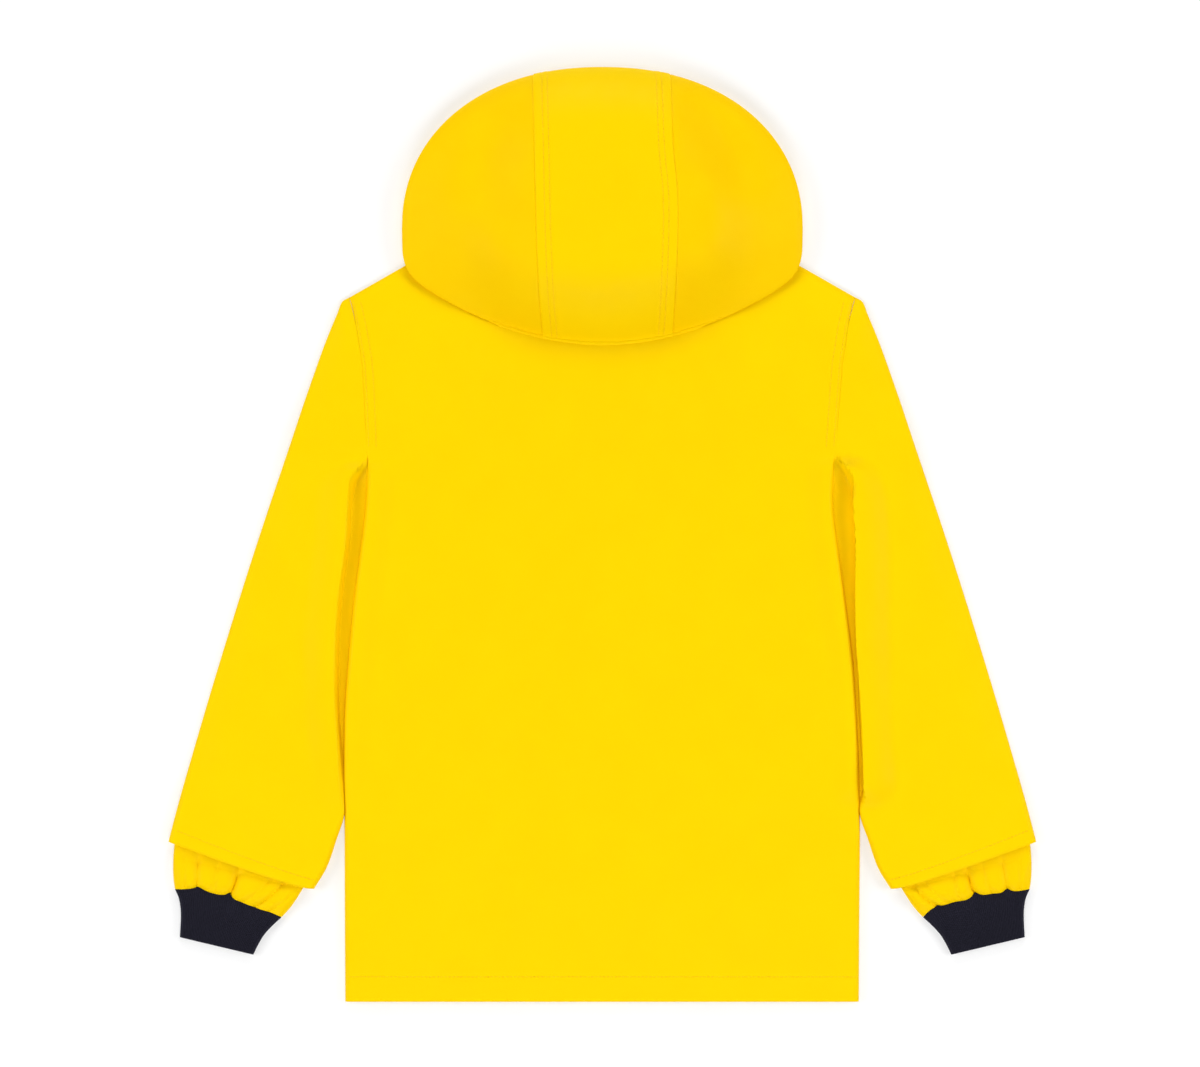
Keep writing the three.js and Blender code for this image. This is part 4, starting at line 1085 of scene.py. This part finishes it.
def rib_cuff_surface(side, along, share, upper, inside):
    x, up, _, distance = cuff_place(side, (RIB_INNER, RIB_OUTER), along, share, 1 - along)
    half = RIB_THROUGH / 2
    fold = rounded((1 - along) * RIB_LENGTH, 1.0)
    sink = RIB_CLOTH / 2 * (1 - fold)
    inset = RIB_CLOTH - sink if inside else sink
    wale = WALE_HEIGHT * (0.5 - 0.5 * np.cos(2 * np.pi * WALES * share)) * fold * smooth(distance, 0, 2)
    swell = RIB_SWELL * np.sin(np.pi * np.clip(along, 0, 1)) * rise(distance, RIB_SWELL_RUN)
    raised = swell if inside else swell + wale
    edge = rounded(distance, half)
    high = half + (half - inset + raised) * edge
    low = half - (half - inset) * edge
    return np.stack([x, up, np.where(upper, high, low)], axis=-1)


def make_rib_cuff(side, name):
    columns = WALES * 6
    edges = [0.002, 0.006, 0.994, 0.998]
    upper = np.unique(np.concatenate([np.linspace(0, 1, columns + 1), edges]))
    lower = np.linspace(0, 1, columns // 2 + 1)
    alongs = stations(RIB_LENGTH, 2.6, [(0, 2, 0.8), (RIB_LENGTH - 1.5, RIB_LENGTH, 0.25)])
    surface = partial(rib_cuff_surface, side)
    return mesh_object("coat_" + name, [tube(surface, alongs, upper, lower)], sharp=60)


# Hood


def hood_arch(x):
    inside = np.maximum(0, 1 - np.abs(x / HOOD_HALF) ** HOOD_ARCH_POWER)
    return HOOD_WIDEST_UP + (HOOD_CROWN_UP - HOOD_WIDEST_UP) * inside ** (1 / HOOD_ARCH_POWER)


def hood_seam(side, up):
    return by_side(HOOD_SEAMS, side, np.clip(up, *HOOD_SEAM_ENDS))


def hood_rise(x):
    """How far the upper sheet rises over the widest line, as a share, at a place across the hood."""
    seam = hood_seam(x, HOOD_WIDEST_UP)
    beyond = np.clip((np.abs(x) - seam) / (HOOD_HALF - seam), 0, 1)
    slope = 1 - beyond**HOOD_SIDE_POWER
    edge_share, edge_width = HOOD_SIDE_EDGE
    return slope + edge_share * (rounded(1 - beyond, edge_width) - slope)


def hood_slope(distance, length, width, power, edge_share, edge_width):
    """A slope up from an edge of the hood, whose section has that length: steep at first, then less so."""
    run = np.minimum(width, HOOD_SLOPE_SHARE * length)
    slope = 1 - (1 - np.clip(distance / run, 0, 1)) ** power
    return slope + edge_share * (rounded(distance, edge_width * run / width) - slope)


def hood_swell(x, share, length):
    """How far a section along Y rises between the roll and the crown, as a share."""
    from_roll, from_crown = share * length, (1 - share) * length
    at_roll = hood_slope(from_roll, length, *HOOD_ROLL_SLOPE)
    at_valley = hood_slope(from_roll, length, *HOOD_PRESSED_SLOPE) * (1 - np.exp(-from_roll / HOOD_VALLEY))
    at_roll = at_roll + pressed_share(x) * (at_valley - at_roll)
    return at_roll * hood_slope(from_crown, length, *HOOD_CROWN_SLOPE)


def fall_roll(x):
    return HOOD_FALL_SIDE_ROLL + (HOOD_FALL_ROLL - HOOD_FALL_SIDE_ROLL) * pressed_share(x)


# Stations round a section of the hood: the upper sheet from the roll to the crown, then the lower one back.
UPPER_ROUND = (1 - np.cos(np.linspace(0, np.pi, 91))) / 2
LOWER_ROUND = np.linspace(0, 1, 60)[1:-1]
ROUND = np.concatenate([UPPER_ROUND, LOWER_ROUND])
UPPER = np.s_[:, : len(UPPER_ROUND)]
LOWER = np.s_[:, len(UPPER_ROUND) :]
# Shares of the lower sheet: it turns under from the crown, runs to the neck, steps down on to the back,
# runs on over the back and turns up to the roll.
LOWER_KNOTS = (0, 0.25, 0.5, 0.6, 0.75)


def hood_place(x):
    """The up of each station round the hood at x, a grid with a column for each station. Then, of its
    section, the low end, the length and the ups between which the lower sheet steps down."""
    low, high = hood_fall(x), hood_arch(x)
    length = np.maximum(high - low, 1e-6)
    ups = low + length * ROUND
    back_low, back_high, back_length = low[LOWER], high[LOWER], length[LOWER]
    neck = neckline_up(x[LOWER], BACK_NECK_DROP)
    foot_low, foot_high, head_low = HOOD_STEP_WITHIN
    foot = np.clip(neck + HOOD_STEP, back_low + foot_low * back_length, back_high - foot_high * back_length)
    most = foot - HOOD_STEP_LEAST * np.minimum(back_length, HOOD_STEP_SECTION)
    head = np.clip(neck + LAYER_GAP, back_low + head_low * back_length, most)
    run = HOOD_EDGE_RUN * np.minimum(1, back_length / HOOD_EDGE_SECTION)
    at_knots = [back_high, back_high - run, foot, head, back_low + run]
    lower = back_low + run * ((1 - LOWER_ROUND) / (1 - LOWER_KNOTS[-1])) ** 2
    for i, (start, end) in enumerate(zip(LOWER_KNOTS, LOWER_KNOTS[1:])):
        within = np.clip((LOWER_ROUND - start) / (end - start), 0, 1) ** (1 if i else 2)
        between = (LOWER_ROUND >= start) & (LOWER_ROUND < end)
        lower = np.where(between, at_knots[i] + (at_knots[i + 1] - at_knots[i]) * within, lower)
    ups[LOWER] = lower
    return ups, low, length, (foot, head)


def hood_points(x_at):
    """The hood's outer face. x_at gives x for a grid of ups, so that a column can follow a curved seam."""
    x = x_at(np.full((1, len(ROUND)), float(HOOD_WIDEST_UP)))
    for _ in range(5):
        ups, low, length, (foot, head) = hood_place(x)
        x = x_at(ups)
    share = np.clip((ups - low) / length, 0, 1)
    widest = fall_roll(x) + (HOOD_CROWN_ROLL - fall_roll(x)) * share
    rising = hood_rise(x)
    height = widest + (HOOD_TOP - widest) * rising * hood_swell(x, share, length)
    creases = relief(HOOD_RELIEF, x, ups) + HOOD_WAVES * waves(x, ups)
    height = height + dome(share, 2) ** 2 * rising * creases
    lower_up = ups[LOWER]
    on_back = back_height(x[LOWER], np.minimum(lower_up, neckline_up(x[LOWER], BACK_NECK_DROP)))
    beyond = np.clip((lower_up - head) / np.maximum(foot - head, 1e-6), 0, 1)
    floor = (on_back + HOOD_REST_GAP) * (1 - beyond)
    turn = dome(share[LOWER], np.maximum(2, length[LOWER] / HOOD_CROWN_ROLL))
    height[LOWER] = widest[LOWER] - (widest[LOWER] - floor) * turn
    return np.stack([x, ups, height], axis=-1)


def hood_normals(points):
    around = np.roll(points, -1, axis=1) - np.roll(points, 1, axis=1)
    normal = np.cross(np.gradient(points, axis=0), around)
    return normal / np.maximum(np.linalg.norm(normal, axis=-1, keepdims=True), 1e-9)


def make_hood_centre():
    width = HOOD_STRIP_WIDTH
    zones = both_ends(width, 1.5, 0.4) + both_ends(width, 13, 0.7)
    shares = stations(width, HOOD_STATION, zones)[:, None]

    def x_at(up):
        left, right = -hood_seam(-1, up), hood_seam(1, up)
        return left + (right - left) * shares

    points = hood_points(x_at)
    normal = hood_normals(points)
    across = hood_seam(-1, points[..., 1]) + hood_seam(1, points[..., 1])
    lift = hood_felled(shares * across) + hood_felled((1 - shares) * across)
    lift[LOWER] *= LOWER_FELL_SHARE
    outer = points.copy()
    outer[..., 2] += lift * np.abs(normal[..., 2])
    outer[..., 1] += lift * normal[..., 1]
    return outer, points - CLOTH * normal, normal


def make_hood_side(side):
    width = 100
    zones = [(0, 2, 0.6), (width - 12, width - 2, 0.9), (width - 2, width, 0.3)]
    even = stations(width, HOOD_STATION, zones)[:, None]

    def x_at(up):
        seam = hood_seam(side, up) + 0.02
        return side * (seam + (HOOD_HALF - seam) * even)

    points = hood_points(x_at)
    points[-1] = [side * HOOD_HALF, HOOD_WIDEST_UP, (HOOD_CROWN_ROLL + HOOD_FALL_SIDE_ROLL) / 2]
    normal = hood_normals(points) * side
    normal[-1] = [side, 0, 0]
    from_seam = np.abs(np.abs(points[..., 0]) - hood_seam(side, points[..., 1]))
    dip = seam_dip(from_seam, HOOD_SIDE_DIP)
    return points + normal * dip[..., None], points - CLOTH * normal


def neck_ellipse(drop, inset=0.0, count=41):
    turns = np.linspace(0, np.pi, count)
    half = NECK_HALF - inset
    return np.column_stack([-half * np.cos(turns), NECK_UP - drop * np.sin(turns)])


def face_edge(turns):
    return np.column_stack([FACE_HALF * np.cos(turns), FACE_WIDEST_UP + FACE_RISE * np.sin(turns)])


def face_outline():
    round_edge = face_edge(np.linspace(FACE_TURN, math.pi - FACE_TURN, 49))
    neck_front = NECK_UP - FRONT_NECK_DROP
    foot = np.array([[FACE_FOOT_HALF, neck_front - 20], [FACE_FOOT_HALF, neck_front + 2]])
    return np.concatenate([foot, round_edge, (foot * [-1, 1])[::-1]])


def slot_outline():
    edge = neck_ellipse(BACK_NECK_DROP)
    return np.concatenate([edge, edge[::-1] + [0, NECK_SLOT]])


def collar(side):
    """The part of the hood's lower sheet that goes on down inside the neck to the front neckline."""
    outer_edge = neck_ellipse(FRONT_NECK_DROP - LAYER_GAP, LAYER_GAP, 61)
    keep = outer_edge[outer_edge[:, 0] * side > FACE_FOOT_HALF + COLLAR_FOOT]
    keep = keep[np.argsort(np.abs(keep[:, 0]))]
    keep = np.concatenate([keep, [[side * (NECK_HALF - LAYER_GAP), NECK_UP + NECK_SLOT + COLLAR_JOIN]]])
    foot = [[FACE_FOOT_HALF, NECK_UP - FRONT_NECK_DROP + 2]]
    round_edge = face_edge(np.linspace(FACE_TURN, COLLAR_TURN, len(keep) - 1))
    inner_edge = np.concatenate([foot, round_edge]) * [side, 1]
    across = np.linspace(0, 1, 12)[:, None, None]
    flat = inner_edge + (keep - inner_edge) * across
    low, high = (np.dstack([flat, np.full(flat.shape[:2], height)]) for height in COLLAR_HEIGHT)
    return shell(high, low)


def make_hood():
    outer, inner, normal = make_hood_centre()
    centre = mesh_object("coat_hood_centre", [shell(outer, inner, closed=True)])
    cut(centre, [face_outline(), slot_outline()])
    upper = outer[UPPER]
    across = hood_seam(-1, upper[0, :, 1]) + hood_seam(1, upper[0, :, 1])
    shares = [distance / across for distance in HOOD_FELL_ROWS]
    shares += [1 - share for share in shares]
    rows = [[column_at(grid, share)[4:-4] for grid in (upper, normal[UPPER])] for share in shares]
    threads = thread_object("hood_stitches", rows)
    sides = []
    for side, word in SIDES:
        piece = mesh_object("coat_hood_" + word, [shell(*make_hood_side(side), closed=True, end_rim=False)])
        cut(piece, [face_outline(), slot_outline()])
        add_part(piece, collar(side))
        sides.append(piece)
    return centre, threads, sides


def column_at(grid, share):
    """The points across a grid of columns at a share of its width, for each place along it."""
    across = grid[:, :, 0]
    widths = (across - across[:1]) / (across[-1:] - across[:1])
    columns = zip(share, widths.T, grid.transpose(1, 2, 0))
    return np.array([[np.interp(at, width, values) for values in column] for at, width, column in columns])


# Press studs


def make_stud(number, up):
    turns = 2 * np.pi * np.arange(STUD_SEGMENTS) / STUD_SEGMENTS
    rings = [[(r * math.cos(t), up + r * math.sin(t), z) for t in turns] for r, z in STUD_PROFILE]
    faces = sheet_faces(numbers(len(STUD_PROFILE), STUD_SEGMENTS, True))
    return mesh_object(f"press_stud_{number}", [(np.array(rings).reshape(-1, 3), faces)], sharp=40)


# Assembly


back, back_threads = make_back()
finish_piece(back, cloth_material, "back")
finish_piece(back_threads, thread_material)
front_left, front_right = (make_front(side, "front_" + word) for side, word in SIDES)
finish_piece(front_left, cloth_material, "front_left")
finish_piece(front_right, cloth_material, "front_right")

for side, word in SIDES:
    sleeve, sleeve_threads = make_sleeve(side, "sleeve_" + word)
    finish_piece(sleeve, cloth_material, "sleeve_" + word)
    finish_piece(sleeve_threads, thread_material)
    storm_cuff = make_storm_cuff(side, "storm_cuff_" + word)
    finish_piece(storm_cuff, cuff_material, "storm_cuff_" + word)
    rib_cuff = make_rib_cuff(side, "rib_cuff_" + word)
    finish_piece(rib_cuff, rib_material, "rib_cuff_" + word)

hood_centre, hood_threads, hood_sides = make_hood()
finish_piece(hood_centre, cloth_material, "hood_centre")
finish_piece(hood_threads, thread_material)
for piece, (_, word), area in zip(hood_sides, SIDES, (0.0355, 0.034)):
    finish_piece(piece, hood_side_painted_shade_material, "hood_" + word)

for number, up in enumerate(stud_ups(), 1):
    finish_piece(make_stud(number, up), stud_material, f"stud_{number}")


# Floor, light and camera

floor_mesh = bpy.data.meshes.new("floor")
edge = FLOOR_SIZE / 2
corners = [(-edge, -edge), (edge, -edge), (edge, edge), (-edge, edge)]
floor_mesh.from_pydata([(x, y, -FLOOR_DROP) for x, y in corners], [], [(0, 1, 2, 3)])
floor = add_object("floor", floor_mesh)
floor_material = plain_material("floor", ((0.5, 0.5, 0.5), (0.51, 0.51, 0.51)), 20, 0.002, 0.9, 0.0)
# A white table that is also lit from below, so that shadows on it are faint.
floor_shader = floor_material.node_tree.nodes["Principled BSDF"]
floor_shader.inputs["Emission Color"].default_value = (1, 1, 1, 1)
floor_shader.inputs["Emission Strength"].default_value = FLOOR_GLOW
floor_mesh.materials.append(floor_material)

for azimuth, from_above in LIGHTS:
    lamp = bpy.data.lights.new("softbox", "AREA")
    lamp.shape = "DISK"
    lamp.size = LIGHT_SIZE
    lamp.energy = LIGHT_POWER
    light = add_object("softbox", lamp)
    turn, tilt = math.radians(azimuth), math.radians(from_above)
    direction = (math.sin(tilt) * math.cos(turn), math.sin(tilt) * math.sin(turn), math.cos(tilt))
    light.location = Vector(direction) * LIGHT_DISTANCE
    light.rotation_euler = light.location.to_track_quat("Z", "Y").to_euler()

world = bpy.data.worlds.new("studio")
world.use_nodes = True
background = world.node_tree.nodes["Background"]
background.inputs["Color"].default_value = (1, 1, 1, 1)
background.inputs["Strength"].default_value = WORLD_STRENGTH
bpy.context.scene.world = world

camera_data = bpy.data.cameras.new("camera")
camera_data.sensor_fit = "HORIZONTAL"
camera_data.lens = camera_data.sensor_width * (CAMERA_HEIGHT - COAT_HEIGHT) / FRAME_WIDTH
camera = add_object("camera", camera_data)
camera.location = (*FRAME_CENTRE, CAMERA_HEIGHT)
bpy.context.scene.camera = camera
bpy.context.scene.view_settings.view_transform = "Standard"
